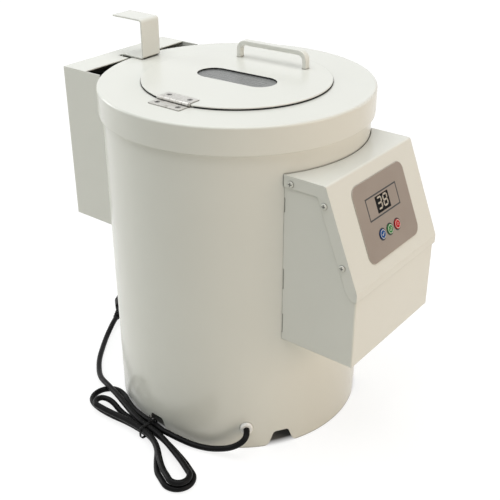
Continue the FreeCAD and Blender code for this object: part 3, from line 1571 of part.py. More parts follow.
save("wire_loom", run_tube("wire_loom", loom_points(), LOOM_R))
save("cord_grommet", cord_grommet())
save("inner_lead", inner_lead())
save("cord_lead", run_tube("cord_lead", lead_points(), CORD_R))
save("cord_hank", cord_hank())
save("cord_tail", run_tube("cord_tail", TAIL_ROUTE, CORD_R))
save("cord_tie", cord_tie())
save("plug_body", plug_body())
save("plug_pins", *plug_pins())
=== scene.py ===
import bmesh
import bpy
import math
from mathutils import Matrix, Vector


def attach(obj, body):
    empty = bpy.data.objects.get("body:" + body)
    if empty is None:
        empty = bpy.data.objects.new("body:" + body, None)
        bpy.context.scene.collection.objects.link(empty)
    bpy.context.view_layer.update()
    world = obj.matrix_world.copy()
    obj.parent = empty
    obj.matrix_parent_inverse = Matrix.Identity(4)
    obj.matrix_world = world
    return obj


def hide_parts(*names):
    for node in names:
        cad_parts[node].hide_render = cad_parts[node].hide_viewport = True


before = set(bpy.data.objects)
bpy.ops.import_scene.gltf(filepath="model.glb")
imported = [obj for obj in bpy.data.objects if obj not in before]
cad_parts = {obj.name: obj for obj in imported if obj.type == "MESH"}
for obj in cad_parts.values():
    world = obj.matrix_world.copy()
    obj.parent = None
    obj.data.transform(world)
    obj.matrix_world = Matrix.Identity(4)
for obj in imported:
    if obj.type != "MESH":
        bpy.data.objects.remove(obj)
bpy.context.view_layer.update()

MM = 0.001
UP = Vector((0, 0, 1))

# Camera at the photograph's viewing angle
CAMERA_AT = Vector((-827.3, -661.8, 776.3)) * MM
CAMERA_AIM = Vector((9.9, -12.8, 206.6)) * MM
CAMERA_LENS = 62.47
CAMERA_SENSOR = 36.0

# Drum and grommet, in millimetres
SHELL_R = 170.0
GROMMET_ANGLE = 221.6
GROMMET_Z = 34.0
GROMMET_OUT_T = 4.5

# Mains lead, in millimetres: straight out, then distance out from the shell, angle and height
CORD_R = 4.0
CORD_FLOOR_GAP = 0.05
CORD_SIDE_STEPS = 6
CORD_LINE_STEPS = 10
LEAD_STRAIGHT = 8.0
LEAD_ROUTE = [
    (18.5, 220.8, 30.6),
    (20.5, 218.6, 24.0),
    (18.5, 215.0, 16.0),
    (14.5, 211.0, 9.8),
    (11.5, 205.5, 5.2),
    (9.8, 198.5, 5.0),
    (9.4, 191.4, 8.6),
    (9.4, 185.4, 11.0),
]
TAIL_ROUTE = [
    (-185.0, 26.0, 14.6),
    (-181.0, 42.0, 14.4),
    (-172.5, 66.0, 14.2),
    (-162.5, 94.0, 14.0),
    (-154.5, 121.0, 13.4),
    (-147.0, 141.0, 9.6),
    (-133.0, 161.0, 5.2),
    (-111.0, 184.0, 4.2),
    (-84.0, 204.0, 4.1),
    (-62.0, 219.0, 4.4),
    (-46.0, 227.0, 8.0),
    (-32.0, 233.0, 12.0),
    (-19.0, 239.5, 12.0),
]

# Hank, tied at its waist; each strand through the waist has an offset across and a layer
WAIST = Vector((-187.0, 8.0, 0.0))
WAIST_TURN = 6.0
WAIST_LIFT = 1.3
LAYER_STEP = 8.8
WAIST_STRANDS = [(10.2, 0.78), (-5.0, 0.0), (4.0, 0.0), (-9.5, 1.0), (-0.5, 1.0)]

# Loops of the hank: side, turn of its axis, length, half width, offset and layers of its three points
LOOPS = [
    ("left", 7.0, 120.0, 22.0, 6.0, (0.0, 0.0, 0.0)),
    ("right", 24.6, 119.0, 19.5, 0.0, (0.0, 0.0, 0.0)),
    ("left", 0.0, 98.0, 10.0, 0.5, (0.8, 1.0, 1.0)),
    ("right", 25.0, 118.0, 13.5, 0.0, (1.0, 1.0, 1.0)),
]

# Strand that hugs the drum, strand that dips under the others, and limits for the guide points
HUG_STRAND = 0
HUG_ANGLE = 158.0
HUG_R = 176.0
HUG_LAYER = 0.45
DIP_STRAND = 2
DIP_POINT = Vector((-180.5, 58.0, 0.0))
DIP_TURN = 5.0
TIGHT_RATIO = 3.0
STRAIGHT_LIMIT = 1e-6

# Wire tie at the waist, its section in shares of its width and thickness
TIE_W = 4.6
TIE_T = 0.9
TIE_FLAT = 0.42
TIE_WIRE = 0.16
TIE_EDGE = 0.30
TIE_GAP = 0.5
TIE_CORNER_R = 4.6
TIE_ARC_STEPS = 8

# Twisted ends of the tie, pointing across, up and along, and splayed from a share of their length
TIE_END_X = 2.0
TIE_END_WAY = (0.75, 0.45, 0.30)
TIE_END_L = 9.0
TIE_END_TURNS = 0.9
TIE_END_R = 1.1
TIE_END_SPLAY = 12.0
TIE_END_SPLAY_FROM = 0.55
TIE_END_NARROW = 0.5
TIE_END_STEPS = 40

# Control panel: top edge, slope, and places across from the middle and down from the top edge
PANEL_TOP = Vector((0.0, -198.0, 390.0))
PANEL_FOOT = Vector((0.0, -246.0, 270.0))
OVERLAY_TOP = 0.8
PRINT_T = 0.06
FRAME_LINE_W = 1.8
FRAME_LEFT = -33.7
FRAME_RIGHT = 35.8
FRAME_HIGH = 37.2
FRAME_LOW = 65.3
DISPLAY_X = 1.0
DISPLAY_S = 51.2
DISPLAY_FACE = 0.6
DIGITS = "38"
DIGITS_LIFT = 0.9
DIGIT_W = 10.4
DIGIT_H = 15.6
DIGIT_PITCH = 12.8
DIGIT_STROKE = 2.2
DIGIT_GAP = 0.2
DIGIT_SLANT = 0.05

# Bars of a seven-bar digit, as shares of its width and height, and the bars that each digit lights
SEGMENT_BARS = {
    "top": ((0, 0), (1, 0)),
    "middle": ((0, 0.5), (1, 0.5)),
    "bottom": ((0, 1), (1, 1)),
    "left_high": ((0, 0), (0, 0.5)),
    "right_high": ((1, 0), (1, 0.5)),
    "left_low": ((0, 0.5), (0, 1)),
    "right_low": ((1, 0.5), (1, 1)),
}
DIGIT_BARS = {
    "3": "top middle bottom right_high right_low",
    "8": "top middle bottom left_high right_high left_low right_low",
}

# Keys: rings, printed outlines and marks, the marks across and down from the middle of a key
KEY_BODIES = ("set_button", "start_button", "stop_button")
BUTTON_PITCH = 17.1
BUTTON_S = 85.5
BUTTON_TOP = 2.0
RING_OUT_R = 5.35
RING_IN_R = 4.72
OUTLINE_OUT_R = 7.6
OUTLINE_IN_R = 6.25
CIRCLE_STEPS = 64
TICK_LINE = [(-2.1, -0.1), (-0.6, 1.5), (2.1, -1.8)]
TICK_STROKE = 1.0
ARROW_R = 1.8
ARROW_STEPS = 20
TURN_ARC = (-40, 220)
TURN_STROKE = 0.60
TURN_HEAD = [(0.5, -2.3), (2.3, -2.0), (1.5, -0.5)]
BACK_ARC = (40, -220)
BACK_STROKE = 0.40
BACK_HEAD = [(0.7, 2.1), (2.1, 1.9), (1.5, 0.7)]

# Black strip under the hatch's rim, painted shade standing in for the shadow in the gap there: heights above
# the floor and the half angle left open at the hinge
HATCH_R = 120.0
STRIP_GAP = 0.03
STRIP_T = 0.4
STRIP_LOW = 450.2
STRIP_HIGH = 451.7
STRIP_OPEN = 14.0
STRIP_STEPS = 120

# Black strip on the wall of the viewing slot: its size, middle and turn on the hatch, and heights above the
# floor
SLOT_L = 112.5
SLOT_W = 42.5
SLOT_MIDDLE = Vector((-2.6, -1.1, 0.0))
SLOT_TURN = 3.5
SLOT_STRIP_LOW = 451.35
SLOT_STRIP_HIGH = 453.0
SLOT_STRIP_STEPS = 24

# Colours, as linear shares of red, green and blue
CREAM = (0.755, 0.755, 0.710)
CREAM_SHADE = (0.742, 0.741, 0.694)
# Painted highlight for rounded edges
CREAM_EDGE_HIGHLIGHT = (0.80, 0.80, 0.76)
FILM = (0.320, 0.268, 0.232)
FILM_SHADE = (0.290, 0.240, 0.208)
# Painted highlight for the film's cut edge
FILM_EDGE_HIGHLIGHT = (0.80, 0.77, 0.71)
CORD_BLACK = (0.0040, 0.0040, 0.0044)
CORD_DUST = (0.0110, 0.0110, 0.0115)
ZINC = (0.60, 0.59, 0.56)
ZINC_SHADE = (0.48, 0.47, 0.44)
WORN_ZINC = (0.20, 0.195, 0.185)
WORN_ZINC_SHADE = (0.13, 0.125, 0.118)
ZINC_STAIN = (0.40, 0.385, 0.35)
# Painted shade for crevices in the plating
ZINC_PAINTED_SHADE = (0.03, 0.028, 0.025)
STEEL = (0.66, 0.665, 0.67)
STEEL_SHADE = (0.56, 0.565, 0.57)
PANE = (0.240, 0.245, 0.242)
PANE_SHADE = (0.200, 0.205, 0.202)
RUBBER_BLACK = (0.009, 0.009, 0.0095)
RUBBER_DUST = (0.022, 0.0215, 0.0205)
# Painted shade for crevices
CREVICE_PAINTED_SHADE = (0.15, 0.14, 0.115)
# Painted shade for screw recesses
SCREW_PAINTED_SHADE = (0.022, 0.020, 0.017)
# Painted shade for the chute's inside
CHUTE_PAINTED_SHADE = (0.055, 0.052, 0.045)

# Plain finishes: dark tone, pale tone, roughness, grain in features per metre, depth of the grain in metres
PLAIN_FINISHES = {
    "ink": ((0.016, 0.015, 0.015), (0.028, 0.027, 0.026), 0.42, 1500.0, 0.00002),
    "pale_print": ((0.76, 0.73, 0.66), (0.82, 0.79, 0.72), 0.40, 1500.0, 0.00002),
    "digit_print": ((0.42, 0.37, 0.31), (0.50, 0.45, 0.38), 0.40, 1500.0, 0.00002),
    "display_black": ((0.0045, 0.0040, 0.0036), (0.0080, 0.0070, 0.0062), 0.20, 300.0, 0.00001),
    "blue_key": ((0.006, 0.055, 0.215), (0.009, 0.075, 0.270), 0.36, 1800.0, 0.00003),
    "green_key": ((0.030, 0.185, 0.048), (0.042, 0.235, 0.065), 0.36, 1800.0, 0.00003),
    "red_key": ((0.420, 0.010, 0.016), (0.520, 0.016, 0.022), 0.36, 1800.0, 0.00003),
    "white_plastic": ((0.91, 0.91, 0.905), (0.95, 0.95, 0.945), 0.40, 900.0, 0.00005),
    "dark_plastic": ((0.035, 0.035, 0.04), (0.06, 0.06, 0.065), 0.48, 900.0, 0.00006),
    "dark_paint": ((0.07, 0.07, 0.075), (0.11, 0.11, 0.115), 0.45, 800.0, 0.00008),
    "cast_iron": ((0.10, 0.10, 0.105), (0.17, 0.17, 0.175), 0.62, 500.0, 0.0003),
    "board_green": ((0.02, 0.12, 0.05), (0.04, 0.18, 0.08), 0.42, 900.0, 0.00003),
    "alloy": ((0.62, 0.63, 0.65), (0.74, 0.75, 0.77), 0.34, 700.0, 0.00006),
    "brass": ((0.70, 0.50, 0.22), (0.80, 0.60, 0.30), 0.28, 900.0, 0.00003),
}
KEY_GLOSS = {"Specular IOR Level": 0.10}
PLAIN_SETTINGS = {
    "display_black": {"Specular IOR Level": 0.05},
    "blue_key": KEY_GLOSS,
    "green_key": KEY_GLOSS,
    "red_key": KEY_GLOSS,
    "alloy": {"Metallic": 1.0},
    "brass": {"Metallic": 1.0},
}

# Usual range of a noise, and how many grains wide a plain finish's patches of tone and gloss are
NOISE_LOW = 0.3
NOISE_HIGH = 0.7
TONE_GRAINS = 12
GLOSS_GRAINS = 5
GLOSS_SPREAD = 0.06

# Rounding of edges in metres, and the share of a normal that is kept where an edge begins and ends
PAINT_EDGE_R = 0.0009
RUBBER_EDGE_R = 0.0005
SHEET_EDGE_R = 0.0004
SMALL_EDGE_R = 0.0003
EDGE_SAMPLES = 6
EDGE_FLAT = 0.99
EDGE_TURNED = 0.80

# Crevices darkened as painted shade: reach in metres, the open shares where they begin and are full, and how
# dark they get
CREVICE_REACH = 0.0032
SCREW_CREVICE_REACH = 0.0030
ZINC_CREVICE_REACH = 0.0016
CREVICE_OPEN = 0.88
CREVICE_CLOSED = 0.34
SCREW_CREVICE_CLOSED = 0.62
CREVICE_MOST = 0.85
ZINC_CREVICE_MOST = 0.95
CREVICE_SAMPLES = 8

# Stretch of brush lines and scratches along each axis
WALL_BRUSH = (0.4, 0.4, 14.0)
FLOOR_BRUSH = (10.0, 0.4, 1.0)
PANE_SCRATCH = (6.0, 0.6, 1.0)

# Inside of the chute, painted dark as shade, in millimetres
CHUTE_LEFT_X = -93.8
CHUTE_RIGHT_X = 92.5
CHUTE_TOP = 448.8
CHUTE_FOOT = 229.0
CHUTE_NEAR_Y = 120.0
CHUTE_FAR_Y = 215.8

# Painted highlight on the edge of the panel film, in millimetres: the film's middle, where the edge begins
# and its rounding
FILM_MIDDLE = Vector((2.5, -222.7, 330.4))
FILM_EDGE_FROM = 43.0
FILM_EDGE_R = 0.9

# Lights: name, place, point it faces, size in metres, watts and colour
LIGHTS = [
    ("top_light", (-0.2, 0.1, 2.4), (0, 0, 0.3), 2.4, 42.5, (0.97, 0.985, 1.0)),
    ("warm_light", (0.2, -2.4, 0.7), (0.05, -0.2, 0.25), 1.6, 21.5, (1.0, 0.79, 0.61)),
    ("back_light", (-0.6, 2.6, 1.0), (-0.1, 0.1, 0.3), 1.4, 22.0, (1.0, 1.0, 0.98)),
]

# World and floor
WORLD_COLOUR = (0.95, 1.0, 0.925)
WORLD_STRENGTH = 0.27
FLOOR_SIZE = 80.0
FLOOR_BOUNCE = (0.80, 0.78, 0.72)
FLOOR_SEEN = (0.30, 0.30, 0.30)
FLOOR_GLOW = 0.80
FLOOR_FAR_GLOW = 0.97
FLOOR_FAR = (0.9, 3.2)
FLOOR_GLOW_EDGE = (0.160, 0.172)


def polar(radius, degrees, height):
    """Point at a radius and angle about the drum axis."""
    angle = math.radians(degrees)
    return Vector((radius * math.cos(angle), radius * math.sin(angle), height))


def heading(degrees):
    """Level direction, measured from +Y towards +X."""
    angle = math.radians(degrees)
    return Vector((math.sin(angle), math.cos(angle), 0))


def add_object(name, data):
    """Puts a new object in the scene."""
    made = bpy.data.objects.new(name, data)
    bpy.context.scene.collection.objects.link(made)
    return made


# Materials

class Look:
    """One procedural material, with short ways to add its nodes."""

    def __init__(self, name, settings):
        self.material = bpy.data.materials.new(name)
        self.material.use_nodes = True
        self.tree = self.material.node_tree
        self.shader = self.tree.nodes["Principled BSDF"]
        self.place = self.add("ShaderNodeTexCoord").outputs["Object"]
        for key, value in settings.items():
            self.set(key, value)

    def add(self, kind, inputs=None, **options):
        """Node of a kind, with its options set and its inputs filled."""
        made = self.tree.nodes.new(kind)
        for key, value in options.items():
            setattr(made, key, value)
        for key, value in (inputs or {}).items():
            self.fill(made.inputs[key], value)
        return made

    def fill(self, socket, value):
        """Links an input to another node's output, or sets its value."""
        if isinstance(value, bpy.types.NodeSocket):
            self.tree.links.new(value, socket)
        elif socket.type == "RGBA" and len(value) == 3:
            socket.default_value = (*value, 1)
        else:
            socket.default_value = value

    def set(self, key, value):
        """Feeds one input of the surface shader."""
        self.fill(self.shader.inputs[key], value)

    def stretched(self, scale):
        """Object coordinates scaled along each axis."""
        return self.add("ShaderNodeMapping", {"Vector": self.place, "Scale": scale}).outputs[0]

    def noise(self, scale, detail=2.0, place=None):
        """Soft noise whose features are about 1 / scale metres wide."""
        inputs = {"Vector": place or self.place, "Scale": scale, "Detail": detail}
        return self.add("ShaderNodeTexNoise", inputs).outputs[0]

    def cells(self, scale):
        """Distance to the nearest of scattered points."""
        inputs = {"Vector": self.place, "Scale": scale}
        return self.add("ShaderNodeTexVoronoi", inputs).outputs["Distance"]

    def spread(self, value, low, high, to_low=0.0, to_high=1.0):
        """Maps one range of a value to another, cut off at its ends."""
        return self.add("ShaderNodeMapRange", {0: value, 1: low, 2: high, 3: to_low, 4: to_high}).outputs[0]

    def vary(self, value, low, high):
        """Spreads the usual range of a noise between two values."""
        return self.spread(value, NOISE_LOW, NOISE_HIGH, low, high)

    def mix(self, share, first, second):
        """Blend of two colours."""
        made = self.add("ShaderNodeMix", data_type="RGBA")
        for index, value in ((0, share), (6, first), (7, second)):
            self.fill(made.inputs[index], value)
        return made.outputs[2]

    def math(self, operation, first, second):
        """Result of one sum on two numbers."""
        return self.add("ShaderNodeMath", {0: first, 1: second}, operation=operation).outputs[0]

    def soft_edges(self, radius):
        """Normal that rounds sharp edges."""
        return self.add("ShaderNodeBevel", {"Radius": radius}, samples=EDGE_SAMPLES).outputs[0]

    def edge_share(self, rounded):
        """Near 1 along edges and 0 on flat faces."""
        flat = self.add("ShaderNodeNewGeometry").outputs["Normal"]
        both = self.add("ShaderNodeVectorMath", {0: flat, 1: rounded}, operation="DOT_PRODUCT")
        return self.spread(both.outputs["Value"], EDGE_FLAT, EDGE_TURNED)

    def painted_shade_share(self, reach, most=CREVICE_MOST, closed=CREVICE_CLOSED):
        """Near 1 in corners and narrow gaps, where shade is painted in."""
        seen = self.add("ShaderNodeAmbientOcclusion", {"Distance": reach}, samples=CREVICE_SAMPLES)
        return self.spread(seen.outputs["AO"], CREVICE_OPEN, closed, 0.0, most)

    def bump(self, height, distance, strength, normal=None):
        """Normal pushed in and out by a height."""
        inputs = {"Height": height, "Distance": distance, "Strength": strength}
        if normal:
            inputs["Normal"] = normal
        return self.add("ShaderNodeBump", inputs).outputs[0]


def cream_paint(name, reach=CREVICE_REACH, closed=CREVICE_CLOSED, crevice_shade=CREVICE_PAINTED_SHADE, shade_chute=False):
    """Satin powder coat: faint clouding, fine peel, painted shade in crevices, painted highlight along edges
    and, if asked, painted shade on the chute's inside.
    """
    look = Look(name, {"IOR": 1.5})
    cloud = look.spread(look.noise(scale=7.0, detail=3.0), low=0.35, high=0.68)
    rounded = look.soft_edges(PAINT_EDGE_R)
    # edges lightened in patches: painted highlight
    highlight_patches = look.spread(look.noise(scale=60.0, detail=3.0), low=0.35, high=0.65, to_low=0.15, to_high=0.75)
    edge_highlight = look.math("MULTIPLY", look.edge_share(rounded), highlight_patches)
    colour = look.mix(cloud, CREAM_SHADE, CREAM)
    colour = look.mix(edge_highlight, colour, CREAM_EDGE_HIGHLIGHT)
    # crevices darkened: painted shade
    colour = look.mix(look.painted_shade_share(reach, closed=closed), colour, crevice_shade)
    # the chute's inside painted dark: painted shade
    if shade_chute:
        colour = look.mix(chute_inside(look), colour, CHUTE_PAINTED_SHADE)
    look.set("Base Color", colour)
    look.set("Roughness", look.vary(look.noise(scale=9.0, detail=3.0), low=0.20, high=0.27))
    peel = look.noise(scale=1900.0, detail=0.0)
    look.set("Normal", look.bump(peel, distance=0.000012, strength=0.5, normal=rounded))
    return look.material


def chute_inside(look):
    """Near 1 below the chute's top and behind its flange, where the inside is painted dark as shade."""
    parts = look.add("ShaderNodeSeparateXYZ", {0: look.place}).outputs
    share = look.vary(look.noise(scale=45.0, detail=4.0), low=0.82, high=1.0)
    limits = [
        ("X", CHUTE_LEFT_X, CHUTE_RIGHT_X),
        ("Y", CHUTE_NEAR_Y, CHUTE_FAR_Y),
        ("Z", CHUTE_FOOT, CHUTE_TOP),
    ]
    for axis, low, high in limits:
        for test, limit in (("GREATER_THAN", low), ("LESS_THAN", high)):
            inside = look.math(test, parts[axis], limit * MM)
            share = look.math("MULTIPLY", share, inside)
    return share


def zinc_plate(name, dark, pale):
    """Plated steel with a faint spangle and painted shade in its crevices."""
    look = Look(name, {"Metallic": 1.0})
    spangle = look.spread(look.cells(scale=420.0), low=0.1, high=0.7)
    stain = look.spread(look.noise(scale=90.0, detail=3.0), low=0.55, high=0.75)
    colour = look.mix(spangle, dark, pale)
    colour = look.mix(stain, colour, ZINC_STAIN)
    # crevices darkened: painted shade
    look.set("Base Color", look.mix(look.painted_shade_share(ZINC_CREVICE_REACH, ZINC_CREVICE_MOST), colour, ZINC_PAINTED_SHADE))
    look.set("Roughness", look.vary(look.noise(scale=160.0, detail=3.0), low=0.36, high=0.50))
    rounded = look.soft_edges(SMALL_EDGE_R)
    look.set("Normal", look.bump(look.noise(scale=700.0), distance=0.00004, strength=0.3, normal=rounded))
    return look.material


def brushed_steel(name, stretch):
    """Stainless steel with fine brush lines across the stretched axis."""
    look = Look(name, {"Metallic": 1.0})
    lines = look.noise(scale=60.0, detail=3.0, place=look.stretched(stretch))
    look.set("Base Color", look.mix(look.vary(lines, low=0.0, high=1.0), STEEL_SHADE, STEEL))
    look.set("Roughness", look.vary(lines, low=0.26, high=0.40))
    rounded = look.soft_edges(SHEET_EDGE_R)
    look.set("Normal", look.bump(lines, distance=0.00008, strength=0.35, normal=rounded))
    return look.material


def speckled(name, dark, pale, roughness, grain, depth, settings):
    """Plain solid finish with two near tones, a grain and uneven gloss."""
    look = Look(name, settings)
    tone = look.spread(look.noise(grain / TONE_GRAINS, detail=4.0), low=0.35, high=0.65)
    gloss = look.noise(grain / GLOSS_GRAINS, detail=3.0)
    look.set("Base Color", look.mix(tone, dark, pale))
    look.set("Roughness", look.vary(gloss, roughness - GLOSS_SPREAD, roughness + GLOSS_SPREAD))
    rounded = look.soft_edges(SMALL_EDGE_R)
    look.set("Normal", look.bump(look.noise(grain), depth, strength=0.5, normal=rounded))
    return look.material


def cord_jacket():
    """Black sheath with a faint bloom of dust and shallow drawn ripples."""
    look = Look("cord_jacket", {"IOR": 1.5, "Specular IOR Level": 0.10})
    dust = look.spread(look.noise(scale=75.0, detail=4.0), low=0.45, high=0.75, to_high=0.7)
    look.set("Base Color", look.mix(dust, CORD_BLACK, CORD_DUST))
    look.set("Roughness", look.vary(look.noise(scale=120.0, detail=3.0), low=0.30, high=0.44))
    look.set("Normal", look.bump(look.noise(scale=420.0), distance=0.00012, strength=0.4))
    return look.material


def rubber():
    """Matt black rubber with a dusty bloom."""
    look = Look("rubber", {"IOR": 1.45, "Specular IOR Level": 0.25})
    bloom = look.spread(look.noise(scale=45.0, detail=4.0), low=0.4, high=0.75)
    look.set("Base Color", look.mix(bloom, RUBBER_BLACK, RUBBER_DUST))
    look.set("Roughness", look.vary(look.noise(scale=200.0), low=0.62, high=0.78))
    rounded = look.soft_edges(RUBBER_EDGE_R)
    look.set("Normal", look.bump(look.noise(scale=1400.0), distance=0.00008, strength=0.5, normal=rounded))
    return look.material


def smoky_pane():
    """Grey clear sheet, a little hazed by fine scratches."""
    look = Look("smoky_pane", {"IOR": 1.49, "Transmission Weight": 0.25})
    haze = look.spread(look.noise(scale=28.0, detail=4.0), low=0.35, high=0.7)
    scratch = look.noise(scale=55.0, detail=4.0, place=look.stretched(PANE_SCRATCH))
    look.set("Base Color", look.mix(haze, PANE_SHADE, PANE))
    look.set("Roughness", look.spread(scratch, low=0.35, high=0.7, to_low=0.24, to_high=0.36))
    look.set("Normal", look.bump(scratch, distance=0.00004, strength=0.3))
    return look.material


def printed_film():
    """Taupe overlay film with a fine silk texture and a painted highlight along its cut edge."""
    look = Look("printed_film", {"IOR": 1.48})
    tone = look.spread(look.noise(scale=18.0, detail=4.0), low=0.35, high=0.68)
    reach = look.add("ShaderNodeVectorMath", {0: look.place, 1: FILM_MIDDLE * MM}, operation="DISTANCE")
    outer = look.math("GREATER_THAN", reach.outputs["Value"], FILM_EDGE_FROM * MM)
    # outer cut edge lightened: painted highlight
    edge = look.math("MULTIPLY", look.edge_share(look.soft_edges(FILM_EDGE_R * MM)), outer)
    look.set("Base Color", look.mix(edge, look.mix(tone, FILM_SHADE, FILM), FILM_EDGE_HIGHLIGHT))
    look.set("Roughness", look.vary(look.noise(scale=60.0, detail=3.0), low=0.36, high=0.46))
    rounded = look.soft_edges(SHEET_EDGE_R)
    look.set("Normal", look.bump(look.noise(scale=2600.0), distance=0.00003, strength=0.5, normal=rounded))
    return look.material


CREAM_NODES = "top_cover hatch_plate hatch_handle gate_handle gate_rivets control_base control_cover"
ZINC_NODES = ("hinge_fixed_leaf hinge_moving_leaf hinge_pin handle_screws housing_bolts motor_bolts "
              "gate_guides base_plate motor_mount board_standoffs")
HINGE_SCREW_NODES = "hinge_fixed_screws hinge_moving_screws"
WALL_STEEL_NODES = "chamber_liner gate_plate"
FLOOR_STEEL_NODES = "chamber_floor rotor_disc rotor_shaft motor_shaft upper_bearing lower_bearing"
RUBBER_NODES = "hatch_seal rotor_pads shaft_seal drive_belt"
CORD_NODES = "inner_lead cord_lead cord_hank cord_tail cord_tie plug_body wire_loom"

jacket = cord_jacket()
edging = rubber()
plain = {}
for name, values in PLAIN_FINISHES.items():
    plain[name] = speckled(name, *values, PLAIN_SETTINGS.get(name, {}))

finishes = [
    (CREAM_NODES, cream_paint("cream_paint")),
    ("outer_shell chute_box", cream_paint("chute_paint", shade_chute=True)),
    # screw recesses darkened further: painted shade
    ("control_screws", cream_paint("screw_paint", SCREW_CREVICE_REACH, SCREW_CREVICE_CLOSED, SCREW_PAINTED_SHADE)),
    (ZINC_NODES, zinc_plate("zinc_plate", ZINC_SHADE, ZINC)),
    (HINGE_SCREW_NODES, zinc_plate("worn_zinc", WORN_ZINC_SHADE, WORN_ZINC)),
    (WALL_STEEL_NODES, brushed_steel("wall_steel", WALL_BRUSH)),
    (FLOOR_STEEL_NODES, brushed_steel("floor_steel", FLOOR_BRUSH)),
    (RUBBER_NODES, edging),
    (CORD_NODES, jacket),
    ("hatch_window", smoky_pane()),
    ("panel_overlay", printed_film()),
    ("display_module", plain["display_black"]),
    ("button_set", plain["blue_key"]),
    ("button_start", plain["green_key"]),
    ("button_stop", plain["red_key"]),
    ("motor_body", plain["dark_paint"]),
    ("bearing_housing", plain["cast_iron"]),
    ("driven_pulley motor_pulley run_capacitor", plain["alloy"]),
    ("cord_grommet terminal_block rotor_cap", plain["white_plastic"]),
    ("control_board", plain["board_green"]),
    ("key_switches board_parts", plain["dark_plastic"]),
    ("plug_pins", plain["brass"]),
]
for names, finish in finishes:
    for node in names.split():
        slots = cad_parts[node].data.materials
        slots.clear()
        slots.append(finish)


# Mains lead

def layer_z(layer):
    """Height of a strand's middle in a layer of the hank."""
    return CORD_R + CORD_FLOOR_GAP + layer * LAYER_STEP


def across(way):
    """Level direction to the right of a heading."""
    return Vector((way.y, -way.x, 0))


def lead_points():
    """Lead from the grommet, straight out of it at first, to the hank."""
    face = SHELL_R + GROMMET_OUT_T
    points = [polar(face, GROMMET_ANGLE, GROMMET_Z), polar(face + LEAD_STRAIGHT, GROMMET_ANGLE, GROMMET_Z)]
    return points + [polar(SHELL_R + out, angle, height) for out, angle, height in LEAD_ROUTE]


def loop_stations(side, turn, length, half, offset, layers):
    """Three points of a loop: widest on the way out, far end and widest on the way back."""
    out = heading(turn) if side == "left" else -heading(turn)
    right = across(out)
    middle = WAIST + out * (length - half) + right * offset
    places = (middle + right * half, middle + out * half, middle - right * half)
    ways = (out, -right, -out)
    return [(at + UP * layer_z(layer), way) for at, way, layer in zip(places, ways, layers)]


def hank_stations(start, end):
    """Points and headings along the hank, between the lead's end and the tail's start."""
    along = heading(WAIST_TURN)
    stations = [start]
    for index, (offset, layer) in enumerate(WAIST_STRANDS):
        at = WAIST + across(along) * offset + UP * (layer_z(layer) + WAIST_LIFT)
        stations.append((at, along if index % 2 == 0 else -along))
        if index == HUG_STRAND:
            stations.append((polar(HUG_R, HUG_ANGLE, layer_z(HUG_LAYER)), heading(180 - HUG_ANGLE)))
        if index == DIP_STRAND:
            stations.append((DIP_POINT + UP * layer_z(0), heading(DIP_TURN)))
        if index < len(LOOPS):
            stations += loop_stations(*LOOPS[index])
    return stations + [end]


def handle_length(span, start_way, end_way):
    """Reach of the two guide points that lead a curve from one heading to the next."""
    both = start_way + end_way
    square = 4 - both.dot(both)
    linear = 2 * span.dot(both)
    if square < STRAIGHT_LIMIT:
        return span.dot(span) / linear
    return (math.sqrt(linear ** 2 + 4 * square * span.dot(span)) - linear) / (2 * square)


def hank_points(lead, tail):
    """Guide points of the hank: two between stations, and one more beside the end of a tight turn."""
    start_way = (lead[-1] - lead[-2]).normalized()
    end_way = (tail[1] - tail[0]).normalized()
    stations = hank_stations((lead[-1], start_way), (tail[0], end_way))
    spans = list(zip(stations, stations[1:]))
    reaches = [handle_length(end - start, first, second) for (start, first), (end, second) in spans]
    points = []
    for index, ((start, first), (end, second)) in enumerate(spans):
        reach = reaches[index]
        before = reaches[max(index - 1, 0)]
        after = reaches[min(index + 1, len(reaches) - 1)]
        if reach > before * TIGHT_RATIO:
            points.append(start + first * before)
        points += [start + first * reach, end - second * reach]
        if reach > after * TIGHT_RATIO:
            points.append(end - second * after)
    return points


def add_cord():
    """The whole lead as one smooth line with a round jacket."""
    lead = lead_points()
    tail = [Vector(point) for point in TAIL_ROUTE]
    points = lead + hank_points(lead, tail) + tail
    data = bpy.data.curves.new("mains_lead", "CURVE")
    data.dimensions = "3D"
    data.bevel_depth = CORD_R * MM
    data.bevel_resolution = CORD_SIDE_STEPS
    data.resolution_u = CORD_LINE_STEPS
    data.use_fill_caps = True
    line = data.splines.new("NURBS")
    line.points.add(len(points) - 1)
    for point, at in zip(line.points, points):
        point.co = (*(at * MM), 1)
    line.order_u = 3
    line.use_endpoint_u = True
    data.materials.append(jacket)
    cord = add_object("mains_lead", data)
    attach(cord, "drum")
    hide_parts("cord_lead", "cord_hank", "cord_tail")
    return cord, points[0] * MM


# Small modelled pieces

def add_piece(name, shape, material, body, smooth=False):
    """Turns a finished mesh, drawn in millimetres, into a piece that rides on a body."""
    bmesh.ops.scale(shape, vec=(MM, MM, MM), verts=shape.verts)
    bmesh.ops.recalc_face_normals(shape, faces=shape.faces)
    data = bpy.data.meshes.new(name)
    for face in shape.faces:
        face.smooth = smooth
    shape.to_mesh(data)
    shape.free()
    data.materials.append(material)
    piece = add_object(name, data)
    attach(piece, body)
    return piece


def add_rings(shape, rings, closed):
    """Joins rings of points into a skin, with caps unless the last ring meets the first."""
    made = [[shape.verts.new(at) for at in ring] for ring in rings]
    pairs = list(zip(made, made[1:]))
    if closed:
        pairs.append((made[-1], made[0]))
    for first, second in pairs:
        for index in range(len(first)):
            after = (index + 1) % len(first)
            shape.faces.new((first[index], first[after], second[after], second[index]))
    if not closed:
        shape.faces.new(made[0])
        shape.faces.new(made[-1])


